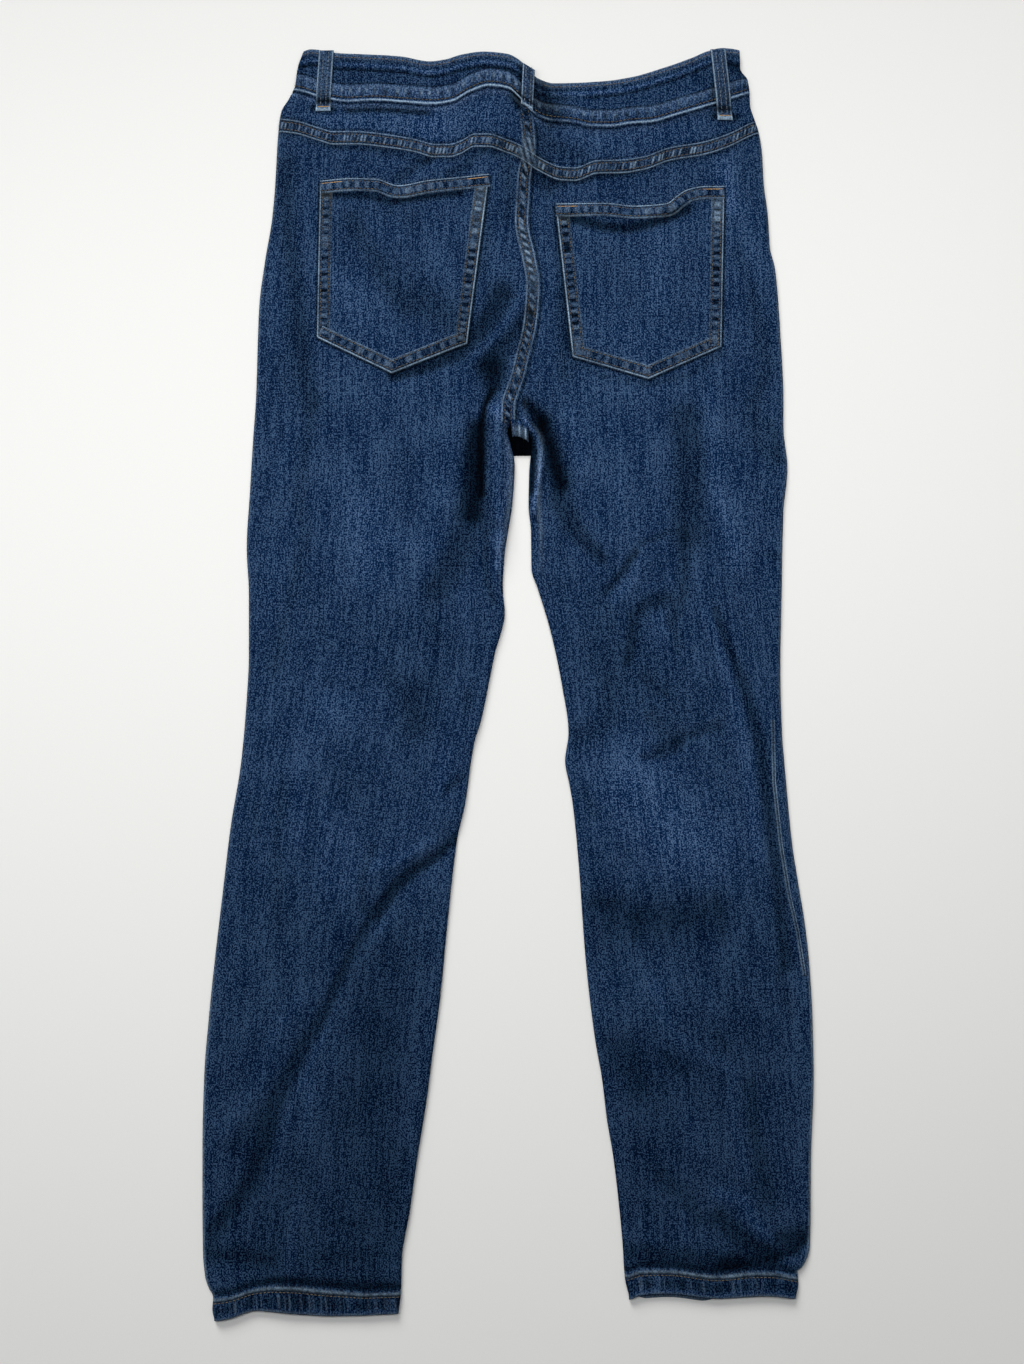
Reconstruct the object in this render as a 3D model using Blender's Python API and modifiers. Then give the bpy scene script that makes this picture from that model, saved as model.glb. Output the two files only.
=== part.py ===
"""Skinny jeans that lie flat on their front, back side up, each cut piece a solid of its own.

The frame has +X to the right as the garment lies, +Y towards the waist and +Z up. Its origin is
the middle of the garment on the surface that carries it. Sizes are in millimetres, as a tailor
would give them, and MM turns them into Blender's metres when a point is placed.
"""

import math
from bisect import bisect_right
from collections import namedtuple
from itertools import chain

import bmesh
import bpy
from mathutils import Vector

MM = 0.001

# Cloth and the way that the layers lie on each other
DENIM = 1.2  # wall of one layer of denim
BAND_CLOTH = 2.2  # wall of the waistband, which is doubled and stiffened
SEAM_GAP = 0.3  # between two pieces that a seam joins
LIE = 5.2  # outer face of the upper layer above the surface
BAND_LIE = 6.6  # outer face of the waistband there
LOWEST_LIE = 3.6  # bottom of the deepest fold in the upper layer
LOWEST_BAND = 5.2  # and in the waistband
RIM = DENIM + SEAM_GAP  # the upper layer's sides come down to this height, onto the lower layer
BAND_RIM = BAND_CLOTH + SEAM_GAP

# Seams, hems and edges
SIDE_ROLL = 4.0  # reach of the round fold that the upper layer makes at a side
FRONT_INSET = 0.4  # the lower layer's sides lie this far in from the upper layer's
FELL_WIDTH = 9.5  # felled seam at the centre back and under the yoke
FELL_RISE = 0.8
HEM_DEPTH = 18.5
HEM_RISE = 0.8
EDGE_STEP = 1.0  # reach of the slope at the side of a raised band

# Grid of a back panel
MIDDLE_COLUMNS = 11
LEG_ROWS = 31
SEAT_ROWS = 10
CROTCH_LEVELS = (203.0, 213.0, 220.0, 226.0, 233.0, 244.0)
FRONT_COLUMNS = 11
FRONT_ROWS = 16
FRONT_BAND_ROWS = 6
FRONT_SEAT_LEVELS = (206.0, 228.0, 262.0, 300.0, 345.0, 390.0, 425.0)

# Levels along the length
CROTCH = 226.0  # the centre back seam ends and the legs part
PARTING = 12.0  # stretch over which the seam's flat edge turns into a leg's rolled one
THIGH = 190.0  # uppermost row of a leg's own rows
SEAT = 262.0  # lowest row of the seat
SEAT_TOP = 446.0
FRONT_SEAT_TOP = 435.0
YOKE_LEVEL = 460.0  # mean height of the yoke seam
FOLLOW = 80.0  # stretch over which the rows take up the slant of a seam
HEM_FOLLOW = 70.0
LEG_START = 32.0  # lowest of a leg's own rows above the hem
HEM_PEEP = 7.0  # the right front hem comes out this far below the back one

# The front under it, and its closure
FRONT_CENTER = 13.0
FRONT_DIP = 44.0  # the front waist is this much lower at the centre than at the sides
FRONT_LEVEL_PART = 46.0  # the front waist runs level for this far on each side of the centre
BAND_HEIGHT = 33.0
FRONT_TOP = 537.3  # level of the front waist at the sides
FRONT_CROTCH = 194.0
CROTCH_STEP = 3.0  # the front panels widen to the centre within this stretch
FLY_LAP = 14.0  # the left end of the waistband laps past the centre
ZIP_LENGTH = 120.0
ZIP_WIDTH = 7.0
ZIP_THICKNESS = 1.6
BUTTON_DIAMETER = 17.0
BUTTON_THICKNESS = 1.8
BUTTON_LIFT = 24.0  # reach of the place where the waistband rises over the button

# Pockets and loops
POCKET_SEAT = 0.45  # underside of a pocket above its panel
LOOP_WIDTH = 12.0
LOOP_CLOTH = 1.3
LOOP_SEAT = 0.4
LOOP_BOW = 0.9  # a loop's middle stands this far off the waistband
LOOP_FEEL = (-4.0, 0.0, 4.0)  # a loop clears what lies this far round each of its points
LOOP_SHARES = (0.0, 0.14, 0.24, 0.34, 0.55, 0.76, 0.9, 1.0)
POCKET_HEM_RISE = 0.4
POCKET_COLUMNS = (0.0, 0.08, 0.2, 0.35, 0.5, 0.65, 0.8, 0.92, 1.0)
POCKET_ROWS = (0.0, 0.08, 0.2, 0.35, 0.5, 0.65, 0.8, 0.91, 0.925, 1.0)

Edge = namedtuple("Edge", "y x")
Line = namedtuple("Line", "x y")
Fold = namedtuple("Fold", "x0 y0 x1 y1 reach rise")
Side = namedtuple("Side", "name sign outer inner hem hem_level")
Pocket = namedtuple("Pocket", "side low_outer low_inner tip top_outer top_inner gape")
Loop = namedtuple("Loop", "name x_top y_top x_foot y_foot")
Shade = namedtuple("Shade", "name color roughness metallic")
Step = namedtuple("Step", "away rise")

# Sections across a hem, the yoke's felled edge and the waistband, from the edge inwards.
# The waistband's distances are shares of its height.
HEM_PROFILE = [
    Step(0.0, -0.9), Step(1.0, 0.5), Step(3.0, HEM_RISE), Step(HEM_DEPTH, HEM_RISE),
    Step(HEM_DEPTH + 1.5, 0.0),
]
FELL_PROFILE = [
    Step(0.0, 0.4), Step(EDGE_STEP, FELL_RISE), Step(FELL_WIDTH - EDGE_STEP, FELL_RISE),
    Step(FELL_WIDTH, 0.0),
]
YOKE_SHARES = (0.35, 0.7, 1.0)
BAND_PROFILE = [
    Step(0.0, -0.4), Step(0.05, 0.3), Step(0.14, 0.0), Step(0.4, 0.0), Step(0.66, 0.0),
    Step(0.94, 0.0), Step(0.98, -0.6), Step(1.0, -1.4),
]
SEAM_SINK = 0.2  # a panel's edge dips this far under the fell that laps it

# Outer edge of each leg, from the hem to the top of the waistband
OUTSEAM_LEFT = [
    Edge(-540, -250.0), Edge(-533, -251.5), Edge(-522, -251.0), Edge(-515, -254.4),
    Edge(-504, -257.8), Edge(-483, -259.6), Edge(-440, -260.0), Edge(-396, -260.0),
    Edge(-332, -258.4), Edge(-286, -254.7), Edge(-240, -250.0), Edge(-180, -243.0),
    Edge(-122, -236.0), Edge(-66, -227.0), Edge(-14, -222.4), Edge(24, -220.5),
    Edge(76, -220.5), Edge(115, -222.3), Edge(163, -219.6), Edge(206, -217.0),
    Edge(241, -214.5), Edge(320, -211.7), Edge(360, -206.6), Edge(393, -201.0),
    Edge(417, -198.6), Edge(474, -195.0), Edge(486, -193.0), Edge(498, -186.0),
    Edge(508, -181.0), Edge(523, -179.0), Edge(537, -174.0),
]
OUTSEAM_RIGHT = [
    Edge(-521, 245.0), Edge(-510, 247.0), Edge(-500, 246.5), Edge(-496, 251.0),
    Edge(-478, 257.0), Edge(-401, 257.8), Edge(-335, 260.0), Edge(-286, 259.0),
    Edge(-231, 255.7), Edge(-201, 252.0), Edge(-170, 247.0), Edge(-136, 241.7),
    Edge(-74, 235.7), Edge(-40, 233.0), Edge(16, 231.7), Edge(68, 232.6),
    Edge(146, 234.3), Edge(184, 237.8), Edge(218, 234.3), Edge(241, 234.3),
    Edge(300, 231.5), Edge(352, 227.4), Edge(370, 223.0), Edge(399, 221.0),
    Edge(425, 217.6), Edge(452, 216.0), Edge(468, 213.5), Edge(479, 210.0),
    Edge(492, 206.0), Edge(502, 205.4), Edge(513, 203.5), Edge(523, 197.5),
    Edge(538, 197.0),
]
# Inner edge of each leg, from the hem to the crotch
INSEAM_LEFT = [
    Edge(-533, -93.0), Edge(-517, -91.1), Edge(-490, -90.4), Edge(-449, -83.6),
    Edge(-405, -77.4), Edge(-353, -69.0), Edge(-318, -64.6), Edge(-266, -57.6),
    Edge(-222, -53.3), Edge(-170, -48.0), Edge(-130, -42.8), Edge(-104, -36.8),
    Edge(-52, -29.0), Edge(-31, -22.8), Edge(24, -11.5), Edge(61, -2.8),
    Edge(81, -4.5), Edge(109, -2.8), Edge(158, 4.2), Edge(187, 5.6),
    Edge(205, 1.7), Edge(215, -0.5),
]
INSEAM_RIGHT = [
    Edge(-521, 103.0), Edge(-506, 99.5), Edge(-474, 97.3), Edge(-437, 93.7),
    Edge(-401, 89.3), Edge(-371, 84.2), Edge(-335, 79.8), Edge(-306, 74.6),
    Edge(-257, 68.3), Edge(-222, 65.0), Edge(-158, 60.5), Edge(-104, 55.3),
    Edge(-84, 51.9), Edge(-66, 48.6), Edge(-42, 51.5), Edge(-2, 46.0),
    Edge(43, 36.6), Edge(81, 25.3), Edge(97, 20.0), Edge(130, 20.0),
    Edge(151, 17.5), Edge(170, 20.0), Edge(182, 26.0), Edge(194, 29.0),
    Edge(205, 27.8), Edge(213, 23.0), Edge(220, 16.0),
]
# The centre back seam, from the crotch to the waistband
RISE = [
    Edge(226, 5.4), Edge(236, 5.4), Edge(244, 7.8), Edge(258, 12.8),
    Edge(278, 17.6), Edge(297, 22.4), Edge(315, 25.0), Edge(338, 26.4),
    Edge(364, 22.4), Edge(393, 16.7), Edge(409, 17.6), Edge(432, 19.0),
    Edge(451, 23.0), Edge(486, 20.0), Edge(496, 12.0),
]
# Seams and edges that run across
HEM_LEFT = [
    Line(-250, -540.0), Line(-238, -537.5), Line(-214, -530.5), Line(-184, -533.0),
    Line(-150, -535.0), Line(-103, -534.5), Line(-93, -533.0),
]
HEM_RIGHT = [
    Line(103, -521.6), Line(113, -517.0), Line(137, -515.5), Line(178, -519.5),
    Line(219, -517.6), Line(245, -520.5),
]
YOKE_SEAM = [
    Line(-195, 478.5), Line(-182, 477.0), Line(-163, 472.0), Line(-145, 467.0),
    Line(-130, 468.0), Line(-114, 464.5), Line(-81, 459.5), Line(-49, 458.5),
    Line(-33, 464.0), Line(-21, 466.5), Line(-3, 463.0), Line(14, 457.0),
    Line(24, 447.5), Line(39, 442.0), Line(63, 440.5), Line(91, 445.0),
    Line(123, 450.6), Line(152, 457.5), Line(180, 463.0), Line(213, 476.0),
]
WAIST_SEAM = [
    Line(-185, 503.5), Line(-163, 499.4), Line(-114, 495.0), Line(-82, 494.0),
    Line(-54, 493.5), Line(-40, 500.0), Line(-20, 508.0), Line(-3, 507.0),
    Line(11, 497.0), Line(21, 486.5), Line(31, 481.0), Line(58, 478.0),
    Line(107, 477.0), Line(131, 481.5), Line(156, 488.0), Line(205, 502.0),
]
BAND_TOP = [
    Line(-174, 537.5), Line(-167, 539.0), Line(-146, 535.0), Line(-114, 532.5),
    Line(-73, 528.6), Line(-57, 529.5), Line(-32, 534.0), Line(-8, 536.0),
    Line(5, 532.5), Line(13, 527.0), Line(23, 515.0), Line(42, 509.5),
    Line(66, 510.0), Line(91, 512.4), Line(115, 515.5), Line(132, 520.0),
    Line(156, 530.0), Line(172, 538.0), Line(186, 541.5), Line(197, 538.5),
]
# The largest folds of the upper layer: a ridge rises, a trough falls
FOLDS = [
    Fold(-7, 236, -10, 118, 11, 4.4),
    Fold(-19, 240, -31, 150, 8, -2.2),
    Fold(-46, 230, -58, 120, 22, 2.0),
    Fold(8, 262, 14, 232, 20, 3.6),
    Fold(20, 224, 44, 178, 9, -1.8),
    Fold(44, 178, 56, 126, 9, -1.8),
    Fold(56, 126, 90, 86, 10, -1.7),
    Fold(90, 190, 96, 128, 26, 2.4),
    Fold(44, 92, 30, 150, 12, 2.2),
    Fold(118, 76, 150, 100, 18, -1.0),
    Fold(-42, -130, -112, -198, 10, -1.6),
    Fold(-60, -118, -128, -176, 16, 1.9),
    Fold(-120, 20, -132, -70, 34, 1.4),
    Fold(-146, -262, -208, -388, 17, -1.3),
    Fold(-122, -300, -170, -400, 24, 1.5),
    Fold(150, -36, 132, -62, 18, -1.2),
    Fold(112, -60, 96, -130, 22, 1.6),
    Fold(130, -176, 182, -216, 16, -1.4),
    Fold(150, -260, 160, -380, 34, 1.5),
    Fold(186, -498, 252, -476, 7, -1.5),
    Fold(200, -470, 246, -448, 18, 1.6),
    Fold(-251, -486, -250, -520, 7, -1.3),
    Fold(-170, 525, -32, 522, 7, -1.1),
    Fold(-22, 524, -2, 512, 18, 2.2),
    Fold(16, 470, 10, 478, 26, 1.8),
    Fold(60, 446, 140, 452, 20, 1.2),
    Fold(-130, 350, -60, 340, 50, 1.2),
    Fold(90, 340, 150, 346, 50, 1.0),
]

POCKETS = [
    Pocket("left", Line(-161.2, 294.0), Line(-34.3, 289.3), Line(-98.6, 264.0),
           Line(-158.7, 427.0), Line(-15.6, 433.5), 0.8),
    Pocket("right", Line(180.2, 286.0), Line(55.0, 278.0), Line(119.3, 259.2),
           Line(182.7, 422.0), Line(40.4, 407.6), 3.2),
]
POCKET_MOUTH_LEFT = [
    Line(-160, 427.5), Line(-132, 429.5), Line(-112, 429.0), Line(-93, 423.5),
    Line(-65, 428.0), Line(-33, 431.5), Line(-15, 433.5),
]
POCKET_MOUTH_RIGHT = [
    Line(40, 407.6), Line(79, 407.6), Line(107, 405.0), Line(134, 407.0),
    Line(150, 418.0), Line(166, 422.0), Line(183, 422.5),
]
LOOPS = [
    Loop("left", -154.0, 536.0, -157.0, 486.8),
    Loop("center", 16.0, 522.5, 15.0, 488.0),
    Loop("right", 178.0, 537.0, 184.4, 479.2),
]

SHADES = [
    Shade("thigh denim", (0.030, 0.070, 0.160, 1.0), 0.86, 0.0),
    Shade("waistband denim", (0.024, 0.056, 0.130, 1.0), 0.84, 0.0),
    Shade("pocket denim", (0.027, 0.063, 0.145, 1.0), 0.86, 0.0),
    Shade("zip metal", (0.420, 0.330, 0.170, 1.0), 0.40, 1.0),
    Shade("button metal", (0.400, 0.310, 0.200, 1.0), 0.35, 1.0),
]


def smooth(table):
    """A smooth function through a table's rows, with no overshoot between them."""
    keys = [row[0] for row in table]
    values = [row[1] for row in table]
    steps = [b - a for a, b in zip(keys, keys[1:])]
    climbs = [(b - a) / step for a, b, step in zip(values, values[1:], steps)]
    slopes = [climbs[0]]
    for before, after in zip(climbs, climbs[1:]):
        slopes.append(0.0 if before * after <= 0 else 2 * before * after / (before + after))
    slopes.append(climbs[-1])

    def at(key):
        index = min(max(bisect_right(keys, key) - 1, 0), len(steps) - 1)
        step = steps[index]
        t = min(max((key - keys[index]) / step, 0.0), 1.0)
        low = values[index] * (1 + 2 * t) * (1 - t) ** 2 + slopes[index] * step * t * (1 - t) ** 2
        high = values[index + 1] * (3 - 2 * t) * t**2 - slopes[index + 1] * step * t**2 * (1 - t)
        return low + high

    return at


def ease(value, start, end):
    """0 at start, 1 at end, and a soft S between."""
    t = min(max((value - start) / (end - start), 0.0), 1.0)
    return t * t * (3 - 2 * t)


def mix(a, b, share):
    return a + (b - a) * share


def spread(start, end, count):
    """Evenly spaced values, both ends included."""
    return [mix(start, end, i / (count - 1)) for i in range(count)]


rise_x = smooth(RISE)
yoke_seam = smooth(YOKE_SEAM)
waist_seam = smooth(WAIST_SEAM)
band_top = smooth(BAND_TOP)
SIDES = {
    "left": Side("left", -1, smooth(OUTSEAM_LEFT), smooth(INSEAM_LEFT + RISE),
                 smooth(HEM_LEFT), -534.0),
    "right": Side("right", 1, smooth(OUTSEAM_RIGHT), smooth(INSEAM_RIGHT + RISE),
                  smooth(HEM_RIGHT), -519.0),
}
MOUTHS = {"left": smooth(POCKET_MOUTH_LEFT), "right": smooth(POCKET_MOUTH_RIGHT)}


def fold_height(x, y):
    """What all the folds together add to the height at a point."""
    total = 0.0
    for fold in FOLDS:
        run_x = fold.x1 - fold.x0
        run_y = fold.y1 - fold.y0
        along = ((x - fold.x0) * run_x + (y - fold.y0) * run_y) / (run_x**2 + run_y**2)
        along = min(max(along, 0.0), 1.0)
        away = math.hypot(x - fold.x0 - along * run_x, y - fold.y0 - along * run_y)
        total += fold.rise * math.exp(-((away / fold.reach) ** 2))
    return total


def lie(x, y):
    """Height of the upper layer's outer face, below the waistband."""
    return max(LIE + fold_height(x, y), LOWEST_LIE)


def band_lie(x, y):
    """Height of the waistband's outer face at the back."""
    return max(BAND_LIE + fold_height(x, y), LOWEST_BAND)


def roll():
    """(distance from the edge, share of the full height) of each step of a rolled side."""
    upright = [(0.0, 0.0), (0.0, 0.3)]
    angles = [math.radians(degrees) for degrees in (45, 90)]
    return upright + [(SIDE_ROLL * (1 - math.cos(a)), mix(0.3, 1.0, math.sin(a))) for a in angles]


def columns(side, y, outer, inner):
    """(x, share of height, raised by the fell) of each column, from the outer edge inwards.

    Below the crotch the inner edge is rolled as the outer one is. Above it the inner edge is the
    centre back seam, and the left panel carries the raised fell.
    """
    inward = -side.sign
    open_leg = 1 - ease(y, CROTCH - PARTING, CROTCH + PARTING / 2)
    rolled = roll()
    felled = [0.0, EDGE_STEP, FELL_WIDTH, FELL_WIDTH + EDGE_STEP]
    raised = [0.6, 1.0, 1.0, 0.0] if side.name == "left" else [0.0] * 4
    outer_group = [(outer + inward * away, share, 0.0) for away, share in rolled]
    inner_group = []
    for (away, share), fell_away, up in zip(rolled, felled, raised):
        x = inner - inward * mix(fell_away, away, open_leg)
        inner_group.append((x, mix(1.0, share, open_leg), up * (1 - open_leg)))
    first, last = outer_group[-1][0], inner_group[-1][0]
    middle = [(x, 1.0, 0.0) for x in spread(first, last, MIDDLE_COLUMNS + 2)[1:-1]]
    return outer_group + middle + inner_group[::-1]


def edge_of(side, y):
    """Outer and inner x of a panel at a level, with half the seam's gap taken off at the centre."""
    gap = SEAM_GAP / 2 * ease(y, CROTCH - PARTING, CROTCH)
    return side.outer(y), side.inner(y) + side.sign * gap


def across(side, level_of, height_of, rim, raise_of=0.0):
    """One row of points from left to right: level_of gives y at x, height_of gives z there."""
    outer, inner = edge_of(side, level_of(side.sign * 200))
    for _ in range(4):
        outer = side.outer(level_of(outer))
        inner = edge_of(side, level_of(inner))[1]
    cells = columns(side, level_of(inner), outer, inner)
    points = []
    for x, share, fell in cells:
        y = level_of(x)
        full = height_of(x, y) + FELL_RISE * fell + raise_of
        points.append((x, y, rim + (full - rim) * share))
    return points if side.name == "left" else points[::-1]


def row_level(side, level):
    """y as a function of x for the row at a nominal level, slanting with the seam or hem near it."""
    top = ease(level, YOKE_LEVEL - FOLLOW, YOKE_LEVEL)
    low = 1 - ease(level, side.hem_level + HEM_DEPTH, side.hem_level + HEM_DEPTH + HEM_FOLLOW)

    def at(x):
        slant = top * (yoke_seam(x) - YOKE_LEVEL) + low * (side.hem(x) - side.hem_level)
        return level + slant

    return at


def back_rows(side):
    """The rows of a back panel, from the hem to the yoke seam."""
    hem = side.hem_level
    levels = [(hem + step.away, step.rise) for step in HEM_PROFILE]
    plain = spread(hem + LEG_START, THIGH, LEG_ROWS) + list(CROTCH_LEVELS)
    plain += spread(SEAT, SEAT_TOP, SEAT_ROWS)
    levels += [(level, 0.0) for level in plain]
    levels += [(YOKE_LEVEL - 2, -SEAM_SINK), (YOKE_LEVEL - SEAM_GAP / 2, -SEAM_SINK)]
    return [across(side, row_level(side, level), lie, RIM, more) for level, more in levels]


def yoke_rows(side):
    """The rows of a yoke, from its felled lower edge to the waistband."""
    rows = []
    for step in FELL_PROFILE:
        def fell_level(x, step=step):
            return yoke_seam(x) + SEAM_GAP / 2 + step.away
        rows.append(across(side, fell_level, lie, RIM, step.rise))
    for share in YOKE_SHARES:
        def level_of(x, share=share):
            return mix(yoke_seam(x) + FELL_WIDTH, waist_seam(x) - SEAM_GAP / 2, share)
        rows.append(across(side, level_of, lie, RIM))
    return rows


def band_rows():
    """The rows of the waistband's back, from its seam to its upper edge."""
    rows = []
    for step in BAND_PROFILE:
        def level_of(x, share=step.away):
            return mix(waist_seam(x) + SEAM_GAP / 2, band_top(x), share)
        left = across(SIDES["left"], level_of, band_lie, BAND_RIM, step.rise)
        right = across(SIDES["right"], level_of, band_lie, BAND_RIM, step.rise)
        rows.append(left[:-1] + right[1:])
    return rows


def front_waist(x):
    """Upper edge of the waistband's front, which dips towards the centre."""
    away = abs(x - FRONT_CENTER)
    return FRONT_TOP - FRONT_DIP * (1 - ease(away, FRONT_LEVEL_PART, 172.0))


def waist_columns(side, outer, end):
    """x of each column along the front waist, the same for the waistband and what hangs from it."""
    bend = FRONT_CENTER + side.sign * (FRONT_LEVEL_PART - 4.0)
    return spread(outer, bend, FRONT_COLUMNS - 5) + spread(bend, end, 6)[1:]


def front_edges(side, y):
    """Outer and inner x of a front panel, which reaches the centre down to the front crotch."""
    closed = ease(y, FRONT_CROTCH - CROTCH_STEP, FRONT_CROTCH)
    seam = FRONT_CENTER + side.sign * SEAM_GAP / 2
    outer = side.outer(y) - side.sign * FRONT_INSET
    inner = side.inner(y) + side.sign * FRONT_INSET
    return outer, mix(inner, seam, closed)


def front_row(side, level_of, at_waist=False):
    """One row of a front panel's outer face, which lies flat on the surface."""
    outer = inner = side.sign * 100.0
    for _ in range(4):
        outer = front_edges(side, level_of(outer))[0]
        inner = front_edges(side, level_of(inner))[1]
    if at_waist:
        xs = waist_columns(side, outer, inner)
    else:
        xs = spread(outer, inner, FRONT_COLUMNS)
    points = [(x, level_of(x), 0.0) for x in xs]
    return points[::-1] if side.name == "left" else points


def front_rows(side):
    """The rows of a front panel, from the hem to its waistband."""
    low = side.hem_level
    levels = [low + 1.5, low + 14] + spread(low + LEG_START, FRONT_CROTCH - 8, FRONT_ROWS)
    levels += [FRONT_CROTCH - CROTCH_STEP, FRONT_CROTCH] + list(FRONT_SEAT_LEVELS)
    rows = []
    for level in levels:
        follow = 1 - ease(level, low + HEM_DEPTH, low + HEM_DEPTH + HEM_FOLLOW)

        def leg_level(x, level=level, follow=follow):
            return level + follow * (front_hem(side, x) - low)
        rows.append(front_row(side, leg_level))
    for share in (0.5, 1.0):
        def top_level(x, share=share):
            return mix(FRONT_SEAT_TOP, front_waist(x) - BAND_HEIGHT - SEAM_GAP, share)
        rows.append(front_row(side, top_level, at_waist=True))
    return rows


def front_hem(side, x):
    """Lower edge of a front panel. The right one comes out below the back hem near its inner end."""
    if side.name == "left":
        return side.hem(x)
    return side.hem(x) - HEM_PEEP * ease(x, 104, 118) * (1 - ease(x, 165, 184))


def front_band_rows(side):
    """The rows of a front stretch of the waistband, raised where the button lies under it."""
    end = FRONT_CENTER + FLY_LAP + side.sign * SEAM_GAP / 2
    rows = []
    for share in spread(0.0, 1.0, FRONT_BAND_ROWS):
        def level_of(x, share=share):
            return front_waist(x) - BAND_HEIGHT * (1 - share)
        outer = side.outer(level_of(side.sign * 185))
        outer = side.outer(level_of(outer)) - side.sign * FRONT_INSET
        xs = waist_columns(side, outer, end)
        points = [(x, level_of(x), button_lift(x, level_of(x))) for x in xs]
        rows.append(points[::-1] if side.name == "left" else points)
    return rows


def button_place():
    """Centre of the button on the waistband's front."""
    return FRONT_CENTER, front_waist(FRONT_CENTER) - BAND_HEIGHT / 2


def button_lift(x, y):
    """How far the waistband rises to lie over the button."""
    center_x, center_y = button_place()
    away = math.hypot(x - center_x, y - center_y)
    flat = BUTTON_DIAMETER / 2 + 1.0
    return (BUTTON_THICKNESS + SEAM_GAP) * (1 - ease(away, flat, BUTTON_LIFT))


def pocket_rows(pocket):
    """The rows of a patch pocket, which takes its panel's heights and lies on it."""
    mouth = MOUTHS[pocket.side]
    low_a, low_b = sorted((pocket.low_outer, pocket.low_inner))
    top_a, top_b = sorted((pocket.top_outer, pocket.top_inner))
    rows = []
    for v in POCKET_ROWS:
        row = []
        for u in POCKET_COLUMNS:
            low_x = mix(low_a.x, low_b.x, u)
            if u <= 0.5:
                low_y = mix(low_a.y, pocket.tip.y, u * 2)
            else:
                low_y = mix(pocket.tip.y, low_b.y, u * 2 - 1)
            top_x = mix(top_a.x, top_b.x, u)
            x = mix(low_x, top_x, v)
            y = mix(low_y, mouth(top_x), v)
            hem = POCKET_HEM_RISE if v >= POCKET_ROWS[-2] else 0.0
            gape = pocket.gape * math.sin(math.pi * u) * ease(v, 0.45, 1.0)
            row.append((x, y, lie(x, y) + POCKET_SEAT + DENIM + hem + gape))
        rows.append(row)
    return rows


def loop_rows(loop):
    """The rows of a belt loop, from its foot below the waistband to its top."""
    rows = []
    for share in LOOP_SHARES:
        center = mix(loop.x_foot, loop.x_top, share)
        y = mix(loop.y_foot, loop.y_top, share)
        bow = LOOP_BOW * math.sin(math.pi * share)
        row = []
        for u in (-1.0, -0.33, 0.33, 1.0):
            x = center + u * LOOP_WIDTH / 2
            nearby = [highest(x + shift, y + up) for shift in LOOP_FEEL for up in LOOP_FEEL]
            row.append((x, y, max(nearby) + LOOP_SEAT + LOOP_CLOTH + bow))
        rows.append(row)
    return rows


def highest(x, y):
    """Outer face of whichever piece of the back is at a point."""
    if y > waist_seam(x) - 1:
        return band_lie(x, y) + 0.3
    fell = FELL_RISE if abs(x - rise_x(y)) < FELL_WIDTH + 2 else 0.0
    return lie(x, y) + fell


def material(shade):
    """A Principled material from one row of the shades."""
    made = bpy.data.materials.new(shade.name)
    made.use_nodes = True
    shader = made.node_tree.nodes["Principled BSDF"]
    shader.inputs["Base Color"].default_value = shade.color
    shader.inputs["Roughness"].default_value = shade.roughness
    shader.inputs["Metallic"].default_value = shade.metallic
    return made


def keep(obj, shade, collection):
    """Puts a piece in the garment's collection, in its own material."""
    for other in list(obj.users_collection):
        other.objects.unlink(obj)
    collection.objects.link(obj)
    obj.data.materials.append(shade)
    return obj


def cloth(name, rows, wall, shade, collection):
    """A piece of cloth: a grid laid through rows of points, thickened inwards from them."""
    grid = bmesh.new()
    bmesh.ops.create_grid(grid, x_segments=len(rows[0]) - 1, y_segments=len(rows) - 1, size=1.0)
    for vert, point in zip(grid.verts, chain.from_iterable(rows)):
        vert.co = Vector(point) * MM
    mesh = bpy.data.meshes.new(name)
    grid.to_mesh(mesh)
    grid.free()
    mesh.shade_smooth()
    obj = bpy.data.objects.new(name, mesh)
    solidify = obj.modifiers.new("Wall", "SOLIDIFY")
    solidify.thickness = wall * MM
    solidify.offset = -1.0
    return keep(obj, shade, collection)


def zip_strip(shade, collection):
    """The closed zip, a plain strip on the inside of the fly."""
    top = front_waist(FRONT_CENTER) - BAND_HEIGHT - 4.0
    height = DENIM + SEAM_GAP + ZIP_THICKNESS / 2
    place = Vector((FRONT_CENTER, top - ZIP_LENGTH / 2, height)) * MM
    bpy.ops.mesh.primitive_cube_add(size=1.0, location=place)
    strip = bpy.context.active_object
    strip.name = "zip"
    strip.scale = Vector((ZIP_WIDTH, ZIP_LENGTH, ZIP_THICKNESS)) * MM
    bpy.ops.object.transform_apply(location=False, rotation=False, scale=True)
    return keep(strip, shade, collection)


def button_disc(shade, collection):
    """The waistband's button, a low metal disc that lies face down on the surface."""
    x, y = button_place()
    place = Vector((x, y, BUTTON_THICKNESS / 2)) * MM
    bpy.ops.mesh.primitive_cylinder_add(vertices=24, radius=BUTTON_DIAMETER / 2 * MM,
                                        depth=BUTTON_THICKNESS * MM, location=place)
    disc = bpy.context.active_object
    disc.name = "button"
    bevel = disc.modifiers.new("Rim", "BEVEL")
    bevel.width = 0.4 * MM
    bevel.segments = 1
    bevel.limit_method = "ANGLE"
    disc.data.shade_smooth()
    disc.data.set_sharp_from_angle(angle=math.radians(40))
    return keep(disc, shade, collection)


def clear_scene():
    for obj in list(bpy.data.objects):
        bpy.data.objects.remove(obj, do_unlink=True)


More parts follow.
